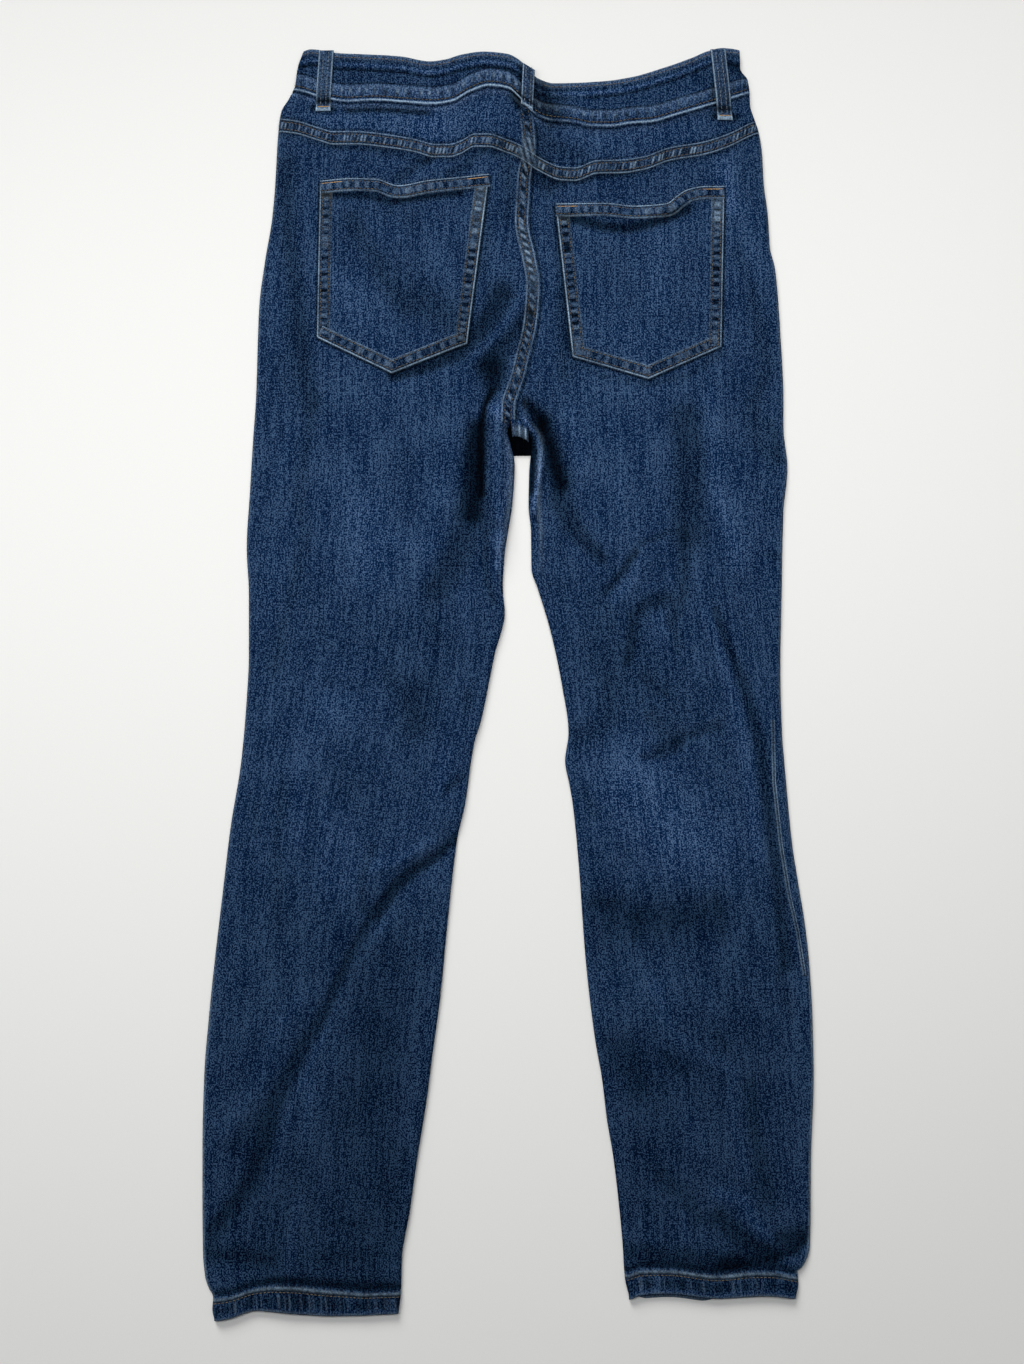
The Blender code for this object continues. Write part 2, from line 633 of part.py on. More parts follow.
def main():
    clear_scene()
    collection = bpy.data.collections.new("Skinny jeans")
    bpy.context.scene.collection.children.link(collection)
    shades = [material(shade) for shade in SHADES]
    thigh, band, patch, zip_metal, button_metal = shades
    for side in SIDES.values():
        cloth(f"back_{side.name}", back_rows(side), DENIM, thigh, collection)
        cloth(f"yoke_{side.name}", yoke_rows(side), DENIM, thigh, collection)
        cloth(f"front_{side.name}", front_rows(side), DENIM, thigh, collection)
        cloth(f"waistband_front_{side.name}", front_band_rows(side), BAND_CLOTH, band,
              collection)
    cloth("waistband_back", band_rows(), BAND_CLOTH, band, collection)
    for pocket in POCKETS:
        cloth(f"back_pocket_{pocket.side}", pocket_rows(pocket), DENIM, patch, collection)
    for loop in LOOPS:
        cloth(f"belt_loop_{loop.name}", loop_rows(loop), LOOP_CLOTH, band, collection)
    zip_strip(zip_metal, collection)
    button_disc(button_metal, collection)


main()
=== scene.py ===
"""The looks of a pair of skinny jeans that lie flat, back side up.

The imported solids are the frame. Every cloth solid is stood for by a finer shell on the same form,
with its creases, folded seams, stitches and worn indigo. Sizes here are in millimetres, as a
tailor gives them, and MM turns them into metres. +X is right as the garment lies, +Y is towards
the waist, +Z is up, and the origin is the middle of the garment on the surface.
"""

from __future__ import annotations

import logging
import math
from collections.abc import Callable, Sequence
from dataclasses import dataclass, field, replace
from enum import Enum

import bpy
import numpy as np
from mathutils import Matrix, Vector

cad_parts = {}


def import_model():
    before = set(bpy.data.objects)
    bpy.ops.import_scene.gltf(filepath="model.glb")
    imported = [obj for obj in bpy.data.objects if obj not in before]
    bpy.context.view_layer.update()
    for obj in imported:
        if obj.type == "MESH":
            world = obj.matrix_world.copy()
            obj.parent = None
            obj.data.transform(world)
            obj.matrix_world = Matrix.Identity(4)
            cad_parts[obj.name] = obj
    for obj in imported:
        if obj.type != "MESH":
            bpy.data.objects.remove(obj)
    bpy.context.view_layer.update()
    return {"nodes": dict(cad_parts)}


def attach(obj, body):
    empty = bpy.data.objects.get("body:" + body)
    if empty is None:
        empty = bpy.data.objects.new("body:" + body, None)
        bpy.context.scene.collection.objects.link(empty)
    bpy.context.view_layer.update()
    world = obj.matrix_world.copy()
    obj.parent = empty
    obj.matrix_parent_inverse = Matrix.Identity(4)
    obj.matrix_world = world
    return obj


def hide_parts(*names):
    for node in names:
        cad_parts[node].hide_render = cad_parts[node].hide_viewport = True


LOG = logging.getLogger("jeans")
MM = 0.001
BODY = "root"
CLOTH_UV = "cloth"

Material = bpy.types.Material
Node = bpy.types.Node
Piece = bpy.types.Object
Socket = bpy.types.NodeSocket
Tree = bpy.types.NodeTree
Array = np.ndarray
Level = Callable[[Array], Array]
Rows = tuple[tuple[float, float], ...]

# The cloth and how its two layers lie on each other
DENIM = 1.0  # wall of one layer
BAND_CLOTH = 1.9  # wall of the waistband, which is doubled
FOLD_CLOTH = 0.7  # wall of a hem, fell or ridge that lies on a panel
EDGE_CLOTH = 0.5  # wall of a narrower fold
POCKET_CLOTH = 0.9
LOOP_CLOTH = 1.0
LIE = 5.2  # outer face of the upper layer above the surface
BAND_LIE = 6.6  # outer face of the waistband
LOWEST_LIE = 2.6  # bottom of the deepest crease in the upper layer
LOWEST_BAND = 4.8  # and in the waistband
SEAM_GAP = 0.3  # between two pieces that a seam joins
RIM = 1.5  # the upper layer's rolled sides come down to this height
BAND_RIM = 2.5  # and the waistband's to this one
SIDE_ROLL = 4.0  # reach of the round fold at a side
ROUNDS = 5  # of finding where a slanting row meets an outline

# Seams, hems and stitches
FELL_WIDTH = 11.4  # felled seam at the centre back and under the yoke
RIDGE_DEPTH = 17.5  # mean height of the ridge over a hem's stitches
HEM_DEPTH = 18.5
HEM_STITCH = 14.4  # height of a hem's stitches
BAND_STITCH = 2.7  # height of the waistband's lower stitches over its seam
CROTCH = 226.0
PARTING = 12.0  # length over which the two legs' inner edges part below the crotch
YOKE_LEVEL = 460.0
FOLLOW = 80.0  # a panel's rows take on the yoke seam's slant over this length
HEM_FOLLOW = 70.0  # and the hem's over this one
STITCH_PITCH = 3.3
STITCH_LENGTH = 2.7
THREAD = 0.62
CROSSING = (17.0, 453.0)  # where the centre seam meets the yoke seam


class Side(Enum):
    """The two sides of the garment as it lies, which are also the wearer's."""

    LEFT = "left"
    RIGHT = "right"

    @property
    def sign(self) -> int:
        """-1 on the left and 1 on the right."""
        return -1 if self is Side.LEFT else 1


@dataclass(frozen=True)
class Line:
    """A smooth line through the rows of a short table, with no overshoot between them.

    Attributes:
        rows: (key, value) pairs, in rising order of key.
    """

    rows: Rows

    def __call__(self, key: Array | float) -> Array:
        """The value at each key.

        Args:
            key: Places along the line.

        Returns:
            The line's value there.
        """
        keys, values = np.array(self.rows, float).T
        steps = np.diff(keys)
        climbs = np.diff(values) / steps
        before, after = climbs[:-1], climbs[1:]
        same_way = before * after > 0
        total = np.where(same_way, before + after, 1.0)
        inner = np.where(same_way, 2 * before * after / total, 0.0)
        slopes = np.r_[climbs[:1], inner, climbs[-1:]]
        index = np.clip(np.searchsorted(keys, key, side="right") - 1, 0, len(steps) - 1)
        step = steps[index]
        t = np.clip((key - keys[index]) / step, 0.0, 1.0)
        low = values[index] * (1 + 2 * t) * (1 - t) ** 2
        low = low + slopes[index] * step * t * (1 - t) ** 2
        high = values[index + 1] * (3 - 2 * t) * t**2
        high = high - slopes[index + 1] * step * t**2 * (1 - t)
        return low + high


@dataclass(frozen=True)
class Fold:
    """One soft ridge or trough along a path, and how light the cloth is painted on it.

    Ridges rub and lose dye and are painted lighter, partly as painted highlight, while hollows keep
    the dye and are painted darker as painted shade.

    Attributes:
        reach: How far it spreads to each side at its start and its end.
        rise: Its height, negative for a trough.
        shade: What it adds to the cloth's painted lightness, where 1 doubles it and -1 blackens it:
            painted shade in a trough, painted highlight on a ridge, partly worn dye.
        path: (x, y) points that it runs through.
    """

    reach: tuple[float, float]
    rise: float
    shade: float
    path: Rows

    def spread(self, x: Array, y: Array) -> Array:
        """The fold's share at each point, 1 on its path and 0 far from it.

        Args:
            x: Places across.
            y: Places along.

        Returns:
            Shares from 0 to 1.
        """
        away = np.full(np.shape(x), np.inf)
        place = np.zeros(np.shape(x))
        runs = len(self.path) - 1
        for index, ((x0, y0), (x1, y1)) in enumerate(zip(self.path, self.path[1:])):
            run_x, run_y = x1 - x0, y1 - y0
            along = ((x - x0) * run_x + (y - y0) * run_y) / (run_x**2 + run_y**2)
            along = np.clip(along, 0.0, 1.0)
            distance = np.hypot(x - x0 - along * run_x, y - y0 - along * run_y)
            nearer = distance < away
            away = np.where(nearer, distance, away)
            place = np.where(nearer, (index + along) / runs, place)
        reach = self.reach[0] + (self.reach[1] - self.reach[0]) * place
        return np.exp(-((away / reach) ** 2))


# Outer edge of each leg, from the hem to the top of the waistband, as (y, x)
OUTSEAM = {
    Side.LEFT: Line((
        (-540, -250), (-533, -251.5), (-522, -251), (-515, -254.4), (-504, -257.8),
        (-483, -259.6), (-440, -260), (-396, -260), (-332, -258.4), (-286, -254.7),
        (-240, -250), (-180, -243), (-122, -236), (-66, -227), (-14, -222.4),
        (24, -220.5), (76, -220.5), (115, -222.3), (163, -219.6), (206, -217),
        (241, -214.5), (320, -211.7), (360, -206.6), (393, -201), (417, -198.6),
        (474, -195), (486, -193), (498, -186), (508, -181), (523, -179),
        (537, -174))),
    Side.RIGHT: Line((
        (-521, 245), (-510, 247), (-500, 246.5), (-496, 251), (-478, 257),
        (-401, 257.8), (-335, 260), (-286, 259), (-231, 255.7), (-201, 252),
        (-170, 247), (-136, 241.7), (-74, 235.7), (-40, 233), (16, 231.7),
        (68, 232.6), (146, 234.3), (184, 237.8), (218, 234.3), (241, 234.3),
        (300, 231.5), (352, 227.4), (370, 223), (399, 221), (425, 217.6),
        (452, 216), (468, 213.5), (479, 210), (492, 206), (502, 205.4),
        (513, 203.5), (523, 197.5), (538, 197))),
}
# The centre back seam, from the crotch up, as (y, x)
RISE_ROWS: Rows = (
    (226, 5.4), (236, 5.4), (244, 7.8), (258, 12.8), (278, 17.6), (297, 22.4), (315, 25),
    (338, 26.4), (364, 22.4), (393, 16.7), (409, 17.6), (432, 19), (451, 23), (486, 20),
    (496, 12))
RISE = Line(RISE_ROWS)
# Inner edge of each panel: the inseam, and above the crotch the centre back seam
INSEAM = {
    Side.LEFT: Line((
        (-533, -93), (-517, -91.1), (-490, -90.4), (-449, -83.6), (-405, -77.4),
        (-353, -69), (-318, -64.6), (-266, -57.6), (-222, -53.3), (-170, -48),
        (-130, -42.8), (-104, -36.8), (-52, -29), (-31, -22.8), (24, -11.5),
        (61, -2.8), (81, -4.5), (109, -2.8), (158, 4.2), (187, 5.6), (205, 1.7),
        (215, -0.5)) + RISE_ROWS),
    Side.RIGHT: Line((
        (-521, 103), (-506, 99.5), (-474, 97.3), (-437, 93.7), (-401, 89.3),
        (-371, 84.2), (-335, 79.8), (-306, 74.6), (-257, 68.3), (-222, 65),
        (-158, 60.5), (-104, 55.3), (-84, 51.9), (-66, 48.6), (-42, 51.5), (-2, 46),
        (43, 36.6), (81, 25.3), (97, 20), (130, 19.5), (151, 17.5), (170, 17.8),
        (182, 18.2), (191, 19), (198, 20), (206, 20), (213, 17.5), (220, 12)) + RISE_ROWS),
}
# Seams and edges that run across, as (x, y)
HEM = {
    Side.LEFT: Line((
        (-250, -542.5), (-238, -540.5), (-214, -533.5), (-184, -536), (-150, -538), (-93, -536))),
    Side.RIGHT: Line((
        (103, -524.5), (113, -520.5), (137, -519), (178, -523), (219, -521), (245, -523.5))),
}
HEM_LEVEL = {Side.LEFT: -535.0, Side.RIGHT: -521.0}
YOKE_SEAM = Line((
    (-195, 478.5), (-182, 477), (-163, 472), (-148, 468.2), (-130, 467), (-114, 464.5),
    (-81, 459.5), (-62, 458), (-50, 459), (-41, 461.6), (-32, 464.6), (-21, 466.5),
    (-10, 465.6), (-2, 463), (14, 457),
    (24, 447.5), (39, 442), (63, 440.5), (91, 445), (123, 450.6), (152, 457.5),
    (180, 463), (213, 476)))
WAIST_SEAM = Line((
    (-190, 505.5), (-176, 503.5), (-156, 497.5), (-136, 494.5), (-112, 495.5), (-88, 494),
    (-64, 492.5), (-48, 494.5), (-32, 503), (-16, 507.5), (0, 505), (11, 496), (21, 485),
    (32, 479.5), (56, 476.5), (72, 473.5), (88, 473.5), (104, 476), (120, 477), (144, 483.5),
    (168, 490.5), (200, 500.5), (210, 504)))
BAND_TOP = Line((
    (-174, 537.5), (-167, 539), (-144, 535.5), (-118, 534.5), (-92, 533), (-66, 529), (-53, 530.5),
    (-40, 534), (-20, 536.5), (-1, 535), (13, 527), (20, 518.5), (26, 514), (39, 510), (78, 511.5),
    (104, 515), (130, 522.5), (156, 531.5), (169, 537), (182, 540), (199, 538)))
# Upper edge of the fell that covers the yoke seam, and the pale ridge over each hem's stitches
FELL_TOP = Line((
    (-196, 480), (-180, 478), (-160, 472), (-148, 469), (-130, 469), (-100, 466), (-80, 462.5),
    (-60, 458), (-50, 458), (-40, 461), (-28, 467), (-18, 467), (0, 461.5), (12, 456), (26, 447),
    (46, 438.5), (56, 438), (76, 444), (96, 444.5), (116, 447.5), (136, 454.5), (166, 460),
    (186, 466.5), (206, 476), (214, 479)))
HEM_RIDGE = {
    Side.LEFT: Line((
        (-250, 19), (-222, 18), (-196, 22), (-180, 23), (-148, 21.5), (-114, 18.5), (-94, 18.5))),
    Side.RIGHT: Line((
        (104, 22), (139, 20), (183, 19.5), (206, 20.5), (228, 20.5), (245, 19))),
}
# The outseam where it comes round to the back of the right leg
OUTSEAM_RIDGE: Rows = (
    (253.6, -248), (247.6, -210), (240.4, -179), (233.4, -136), (227.6, -83), (226.6, -31))

# Upper edge of each pocket, as (x, y)
POCKET_MOUTH = {
    Side.LEFT: Line((
        (-160, 425.3), (-132, 427.3), (-112, 426.8), (-93, 421.3), (-65, 425.8), (-33, 429.3),
        (-15, 431.3))),
    Side.RIGHT: Line((
        (40, 405.9), (79, 405.9), (107, 403.3), (134, 405.3), (143, 411.8), (152, 417.3),
        (166, 420.3), (183, 420.8))),
}
# Cross-sections of the folds that lie on the panels: of a hem as (up, rise), of the yoke's fell as
# (down, rise) and of the ridge over the waistband's seam as (up, rise)
HEM_PROFILE: Rows = (
    (0.0, -2.6), (0.25, -1.0), (0.8, 0.0), (1.6, 0.55), (3, 0.8), (5, 0.95), (7, 1.0), (9, 1.0),
    (11, 0.95), (12.5, 0.85), (13.5, 0.7), (14.3, 0.5), (15.1, 0.45), (15.9, 0.7), (16.7, 1.15),
    (17.5, 1.4), (18.3, 1.25), (19.0, 0.7), (19.6, -0.3))
FELL_PROFILE: Rows = (
    (11.8, -0.5), (11.4, 0.6), (10.9, 1.1), (10.3, 0.95), (9.7, 0.55), (9.0, 0.45), (8.2, 0.85),
    (7.2, 1.1), (6.2, 1.15), (5.2, 1.15), (4.2, 1.1), (3.2, 0.85), (2.4, 0.45), (1.7, 0.55),
    (1.1, 0.95), (0.5, 1.1), (0.0, 0.6), (-0.4, -0.5))
BAND_RIDGE_PROFILE: Rows = (
    (-1.5, -2.2), (-1.2, -0.2), (-0.7, 1.1), (-0.1, 1.7), (0.6, 1.75), (1.3, 1.45), (1.9, 1.1),
    (2.5, 0.4))
# Columns across a belt loop, as shares of half its width
LOOP_COLUMNS = (-1.04, -1.0, -0.93, -0.84, -0.74, -0.6, -0.4, -0.2, 0.0, 0.2, 0.4, 0.6, 0.74, 0.84,
                0.93, 1.0, 1.04)

# The largest folds, which the solids have too, as (reach, rise, x0, y0, x1, y1)
LARGE_FOLDS = (
    (11, 4.4, -7, 236, -10, 118), (8, -2.2, -19, 240, -31, 150), (22, 2, -46, 230, -58, 120),
    (20, 3.6, 8, 262, 14, 232), (9, -1.8, 20, 224, 44, 178), (9, -1.8, 44, 178, 56, 126),
    (10, -1.7, 56, 126, 90, 86), (26, 2.4, 90, 190, 96, 128), (12, 2.2, 44, 92, 30, 150),
    (18, -1, 118, 76, 150, 100), (10, -1.6, -42, -130, -112, -198),
    (16, 1.9, -60, -118, -128, -176), (34, 1.4, -120, 20, -132, -70),
    (17, -1.3, -146, -262, -208, -388), (24, 1.5, -122, -300, -170, -400),
    (18, -1.2, 150, -36, 132, -62), (22, 1.6, 112, -60, 96, -130),
    (16, -1.4, 130, -176, 182, -216), (34, 1.5, 150, -260, 160, -380),
    (7, -1.5, 186, -498, 252, -476), (18, 1.6, 200, -470, 246, -448),
    (7, -1.3, -251, -486, -250, -520), (7, -1.1, -170, 525, -32, 522),
    (18, 2.2, -22, 524, -2, 512), (26, 1.8, 16, 470, 10, 478), (20, 1.2, 60, 446, 140, 452),
    (50, 1.2, -130, 350, -60, 340), (50, 1, 90, 340, 150, 346),
)
# Creases too fine for the solids, as (reach at the start, at the end, rise, shade, x, y, x, y ...);
# shade is painted shade in a crease and painted highlight on a ridge, partly worn dye
CREASES = (
    # Left half of the seat
    (3, 3, -0.6, -0.35, -150, 457, -120, 454, -92, 448, -68, 443),
    (4, 4, -1.6, -0.35, -66, 445, -80, 437, -93, 428), (8, 8, 0.9, 0.1, -84, 447, -106, 435),
    (7, 7, 0.9, 0.08, -54, 441, -73, 432),
    (4, 4, -1.2, -0.38, -50, 432, -38, 437, -30, 447, -20, 452, -6, 449),
    (2.6, 2.6, -0.8, -0.62, -158, 414, -140, 414, -118, 413, -99, 408, -80, 411, -40, 416),
    (9, 11, -1.3, -0.34, -130, 392, -118, 370, -104, 342, -88, 318),
    (9, 9, 0.8, 0.16, -114, 393, -112, 378), (6, 6, 0.6, 0.14, -97, 392, -95, 378),
    (6, 7, 0.5, 0.12, -147, 350, -142, 318), (17, 16, -0.9, -0.34, -72, 322, -46, 306),
    (8, 8, -1.1, -0.36, -188, 442, -187, 385, -179, 335, -172, 262, -168, 235),
    (4, 5, 0.5, 0.16, -196, 388, -199, 340, -197, 285), (3, 3, 0.3, 0.12, -170, 430, -171, 390),
    (4, 7, -1, -0.24, -19, 418, -18, 380, -22, 350),
    (9, 4, -2.8, -0.62, -5, 330, -13, 314, -27, 296, -42, 280, -64, 270, -98, 260),
    (6, 6, 2.4, 0.14, 14, 330, 0, 306, -14, 290, -25, 276),
    (5, 9, -2.4, -0.5, 19, 316, 8, 296, -8, 280, -18, 268),
    (10, 7, -2.6, -0.76, -12, 268, -12, 254), (5, 5, -0.8, -0.3, 0, 440, 2, 414, -1, 396),
    (7, 9, 0.8, 0.12, -9, 372, -11, 350),
    # Left thigh
    (2.6, 3.2, -1.4, -0.95, -14, 248, -20, 236, -22.5, 216, -22.5, 190, -23, 160),
    (6.5, 9, -4.2, -0.86, -26, 216, -28, 202, -29, 182, -29, 164, -30, 146),
    (11, 11, -2.2, -0.46, -32, 136, -44, 108, -60, 80),
    (3, 3, -1.2, -0.42, -18, 130, -20, 104, -17, 84, -11, 68),
    (7, 6, 6, 0.14, -9, 228, -9, 210, -7, 180, -8, 140),
    (9, 10, 1.8, 0.06, -44, 232, -50, 190, -54, 150),
    (3.4, 4, 0.8, 0.8, 0, 212, 1.5, 188, 0, 160, -5, 136, -8, 100),
    (6, 8, 0.8, 0.6, -18, 232, -4, 228),
    (6, 7, -0.9, -0.22, -163, 242, -170, 205, -174, 180, -177, 152, -170, 126, -178, 100,
     -184, 75, -192, 40, -198, 10),
    (4, 5, 0.4, 0.16, -184, 216, -187, 198, -196, 170), (16, 16, 0.7, 0.16, -120, 140, -116, 95),
    (8, 8, 0.5, 0.12, -98, 122, -70, 112), (6, 6, 0.4, 0.14, -150, 62, -146, 48),
    (6, 7, -0.6, -0.18, -152, 0, -124, -4), (9, 9, -0.9, -0.22, -100, 4, -86, -10, -78, -36),
    (6, 6, -0.5, -0.15, -66, 60, -60, 36), (9, 8, 0.7, 0.12, -37, 72, -34, 38),
    (5, 5, -0.4, -0.2, -34, -8, -35, -22), (5, 6, 0.5, 0.12, -160, -16, -146, -34),
    # Left shin
    (3.5, 4, -1.4, -0.42, -39, -80, -52, -91), (7, 8, 0.7, 0.2, -53, -62, -58, -90),
    (3.2, 5, -3.2, -0.66, -43, -131, -60, -147, -80, -160, -95, -173, -113, -198),
    (6, 6, 1.7, 0.24, -66, -137, -94, -152, -114, -157), (5, 5, 0.9, 0.2, -103, -203, -114, -222),
    (4, 5, -0.8, -0.26, -114, -140, -124, -166, -122, -192),
    (4, 8, -2.2, -0.46, -120, -206, -136, -238, -148, -264, -158, -286, -172, -306, -184, -332,
     -197, -356, -208, -392, -218, -424, -234, -448, -252, -470),
    (9, 8, 1.3, 0.16, -172, -268, -196, -297, -204, -330, -228, -368, -238, -384),
    (3, 4, 0.9, 0.2, -128, -222, -138, -252, -150, -286, -166, -322, -184, -358, -192, -392,
     -203, -430),
    (12, 12, -0.7, -0.2, -216, -376, -232, -392),
    (6, 6, -0.8, -0.2, -190, -90, -196, -130, -195, -165, -195, -206),
    (4, 4, -0.4, -0.2, -214, -104, -214, -128),
    (22, 24, -0.7, -0.16, -120, -282, -120, -320, -136, -372),
    (8, 8, 0.7, 0.15, -176, -70, -178, -136), (5, 5, 0.4, 0.12, -156, -104, -154, -178),
    (4, 4, 0.5, 0.25, -168, -340, -172, -388), (4, 4, 0.4, 0.22, -153, -408, -156, -432),
    (5, 5, 0.6, 0.3, -177, -440, -182, -466, -184, -500),
    (8, 9, -1.6, -0.45, -252, -488, -226, -488, -204, -492),
    (3, 3, -0.7, -0.4, -204, -507, -180, -506, -150, -509, -96, -511),
    (7, 7, -0.6, -0.22, -158, -490, -118, -487), (4, 4, -0.4, -0.2, -150, -459, -116, -462),
    (12, 12, -0.5, -0.16, -92, -400, -99, -480),
    # Right half of the seat
    (8, 8, -1.2, -0.5, 25, 508, 29, 492, 38, 480),
    (10, 10, -0.8, -0.34, 28, 462, 44, 453, 60, 448), (11, 9, -2, -0.55, 22, 438, 35, 426),
    (3, 3, -0.6, -0.4, 44, 426, 60, 427, 80, 431, 104, 433),
    (3.4, 3.4, -0.5, -0.36, 39, 402, 43, 360, 47, 320, 52, 284),
    (8, 8, -0.8, -0.28, 46, 330, 49, 262),
    (4, 4, -2.4, -0.72, 50, 395, 62, 392, 80, 387, 100, 385, 120, 389, 140, 396, 152, 402),
    (9, 7, 0.8, 0.6, 184, 436, 190, 404),
    (7, 8, -1, -0.26, 196, 365, 206, 340, 215, 300, 221, 265, 208, 236, 214, 205, 227, 190),
    (3.4, 3.4, -0.5, -0.3, 58, 272, 82, 261, 118, 254, 150, 261, 182, 280),
    # Right thigh
    (2.8, 2.8, 6.2, 1.1, 14, 222, 21, 215, 26.5, 206, 28.5, 194, 27.5, 180, 24, 164, 22, 146),
    (2.8, 2.6, 0, -0.88, 19, 209, 22, 198, 21, 180, 19, 162),
    (3.4, 6, -3.6, -0.85, 15, 238, 22, 231, 30, 222),
    (6.5, 7.5, -3.4, -0.93, 29, 220, 36, 202, 41, 184, 45, 170),
    (8, 4, -2, -0.5, 44, 156, 60, 126, 80, 105), (3, 3, -1.9, -0.52, 109, 111, 98, 95, 84, 79),
    (5, 5, 1, 0.26, 113, 104, 106, 86, 91, 70),
    (6, 4, -1.6, -0.5, 134, 71, 118, 67, 108, 58, 106, 38, 102, 18),
    (6, 6, 0.7, 0.22, 129, 52, 133, 36), (6, 6, -1.4, -0.4, 150, 128, 151, 100, 149, 75, 140, 52),
    (12, 13, -1.5, -0.46, 152, 225, 155, 180, 153, 128),
    (9, 8, 1.3, 0.3, 172, 240, 175, 200, 177, 160, 190, 120, 195, 98),
    (2.5, 2.5, -0.8, -0.36, 112, 119, 124, 122, 134, 128), (4, 4, -0.5, -0.3, 143, 43, 144, 29),
    (7, 6, 1.8, 0.22, 52, 226, 62, 200, 64, 180), (4, 4, 0.4, 0.15, 95, 172, 94, 150),
    (3, 6, -1.8, -0.5, 176, 62, 188, 30, 198, 4, 208, -26, 216, -58, 221, -100, 228, -150,
     233, -200, 237, -240),
    (6, 6, 1.3, 0.3, 171, 58, 184, 16, 193, -16, 202, -60, 209, -110, 213, -150),
    (6, 6, -0.6, -0.3, 116, 5, 132, -8), (6, 8, -0.8, -0.26, 122, -28, 142, -48),
    (5, 6, -1.4, -0.4, 128, -57, 150, -46, 178, -37),
    (11, 11, -0.9, -0.25, 60, -46, 84, -36, 88, -2), (4, 4, -0.4, -0.36, 224, 220, 231, 190),
    (3, 3, -0.4, -0.3, 221, 110, 231, 107),
    # Right shin
    (32, 34, 1.6, 0.26, 104, -84, 130, -112, 172, -140),
    (4, 4, -1, -0.4, 114, -63, 134, -61, 147, -54), (5, 5, -0.5, -0.22, 65, -92, 75, -114),
    (15, 15, -1.8, -0.3, 78, -188, 112, -200, 140, -200, 178, -194),
    (5, 5, -0.6, -0.28, 72, -188, 92, -187), (4, 4, -0.6, -0.28, 110, -196, 108, -218),
    (5, 5, -0.6, -0.24, 178, -184, 184, -220),
    (6, 7, 1.5, 0.26, 126, -262, 140, -300, 166, -318, 192, -332, 192, -374, 202, -418),
    (14, 12, -0.9, -0.26, 98, -310, 112, -346), (5, 6, -1, -0.28, 132, -318, 150, -331),
    (7, 7, -0.5, -0.2, 84, -298, 90, -330), (4, 4, -0.5, -0.3, 177, -300, 184, -309),
    (6, 6, -0.5, -0.25, 232, -248, 240, -282), (6, 6, 0.5, 0.2, 170, -262, 175, -278),
    (9, 9, 0.7, 0.18, 154, -370, 166, -398),
    (4, 11, -1.1, -0.36, 207, -338, 210, -380, 215, -410, 222, -440),
    (9, 9, -0.8, -0.3, 130, -420, 149, -434, 161, -456),
    (7, 5, 1.6, 0.44, 180, -436, 200, -441, 208, -458, 222, -473, 231, -483),
    (8, 7, -2, -0.48, 180, -457, 190, -466, 206, -478, 226, -488),
    (3.4, 4, -1.8, -0.62, 252, -473, 245, -482, 228, -488.5, 209, -492.5, 182, -495),
    (8, 8, -1.2, -0.5, 232, -474, 250, -470),
    (8, 8, -0.9, -0.46, 102, -484, 130, -488, 160, -490, 192, -492),
    (4, 4, 0.3, 0.28, 150, -450, 151, -472), (3, 3, 0.2, 0.22, 122, -418, 122, -437),
    (4, 4, 0.2, 0.16, 158, -485, 182, -484),
    # Waistband, and the shade round the belt loops' feet
    (3.4, 3.4, -1.6, -0.5, 189, 527, 199, 519), (3.2, 3.2, 0, -0.75, -165, 489, -149, 488),
    (3.2, 3.2, 0, -0.75, 176, 482, 193, 481), (2.2, 2.2, 0, -0.6, 174, 508, 176, 488),
    (4, 4, 0, -0.85, 6, 499, 10, 491), (2.4, 2.4, 0, -0.75, 11, 524, 11.5, 498),
)
# Broad differences of the dye and painted light and shade of broad folds, as (reach, shade, x0, y0,
# x1, y1)
TONES = (
    # Yoke and waistband
    (20, 0.42, -150, 484, -70, 474), (20, 0.36, -60, 476, -20, 486),
    (18, 0.24, 60, 462, 150, 470), (12, 0.18, -150, 512, -20, 520), (12, 0.34, 60, 494, 160, 506),
    # Seat
    (40, 0.1, -140, 372, -110, 310), (60, 0.18, 80, 350, 150, 350),
    (15, -0.14, -112, 402, -84, 398), (14, 0.14, -60, 392, -56, 340),
    (16, -0.16, -92, 352, -60, 330), (14, 0.14, -136, 338, -128, 312),
    (13, -0.14, -140, 388, -136, 362), (16, -0.16, 84, 360, 104, 330),
    (15, 0.16, 130, 372, 126, 330), (13, -0.12, 156, 356, 150, 316),
    (13, 0.12, 92, 300, 118, 286), (16, -0.14, -180, 300, -184, 260),
    (14, 0.16, 204, 400, 206, 350),
    # Thighs
    (70, 0.1, -100, 300, -104, 120), (60, 0.14, 100, 240, 110, 150),
    (36, 0.14, -128, 150, -120, 96), (40, -0.14, -150, 60, -60, 40),
    (18, -0.14, -90, 190, -80, 140), (16, 0.14, -66, 150, -62, 100),
    (18, 0.12, -196, 110, -190, 60), (18, -0.12, -150, -60, -130, -90),
    (16, 0.16, 190, 180, 200, 120), (18, -0.14, 80, 70, 76, 20),
    (22, 0.2, -140, -12, -162, -42), (15, -0.3, -74, -6, -78, -34), (28, -0.14, 100, 20, 130, -20),
    # Knees and shins
    (34, 0.26, 112, -84, 138, -136), (26, -0.34, 88, -206, 150, -204),
    (48, -0.14, 200, -230, 150, -330), (16, 0.14, -140, -170, -142, -120),
    (34, -0.26, 106, -320, 116, -440), (60, -0.22, 200, -330, 196, -500),
    (44, -0.34, -100, -240, -112, -500), (55, -0.16, -190, -220, -214, -330),
    (60, -0.34, -200, -420, -190, -520),
)


def ease(value: Array | float, start: float, end: float) -> Array:
    """A soft S from 0 at start to 1 at end.

    Args:
        value: Where to read it.
        start: Where it leaves 0.
        end: Where it reaches 1.

    Returns:
        The share, from 0 to 1.
    """
    t = np.clip((np.asarray(value, float) - start) / (end - start), 0.0, 1.0)
    return t * t * (3 - 2 * t)


def plateau(value: Array | float, start: float, up: float, down: float, end: float) -> Array:
    """1 from up to down, with a soft slope on each side of them."""
    return ease(value, start, up) * (1 - ease(value, down, end))


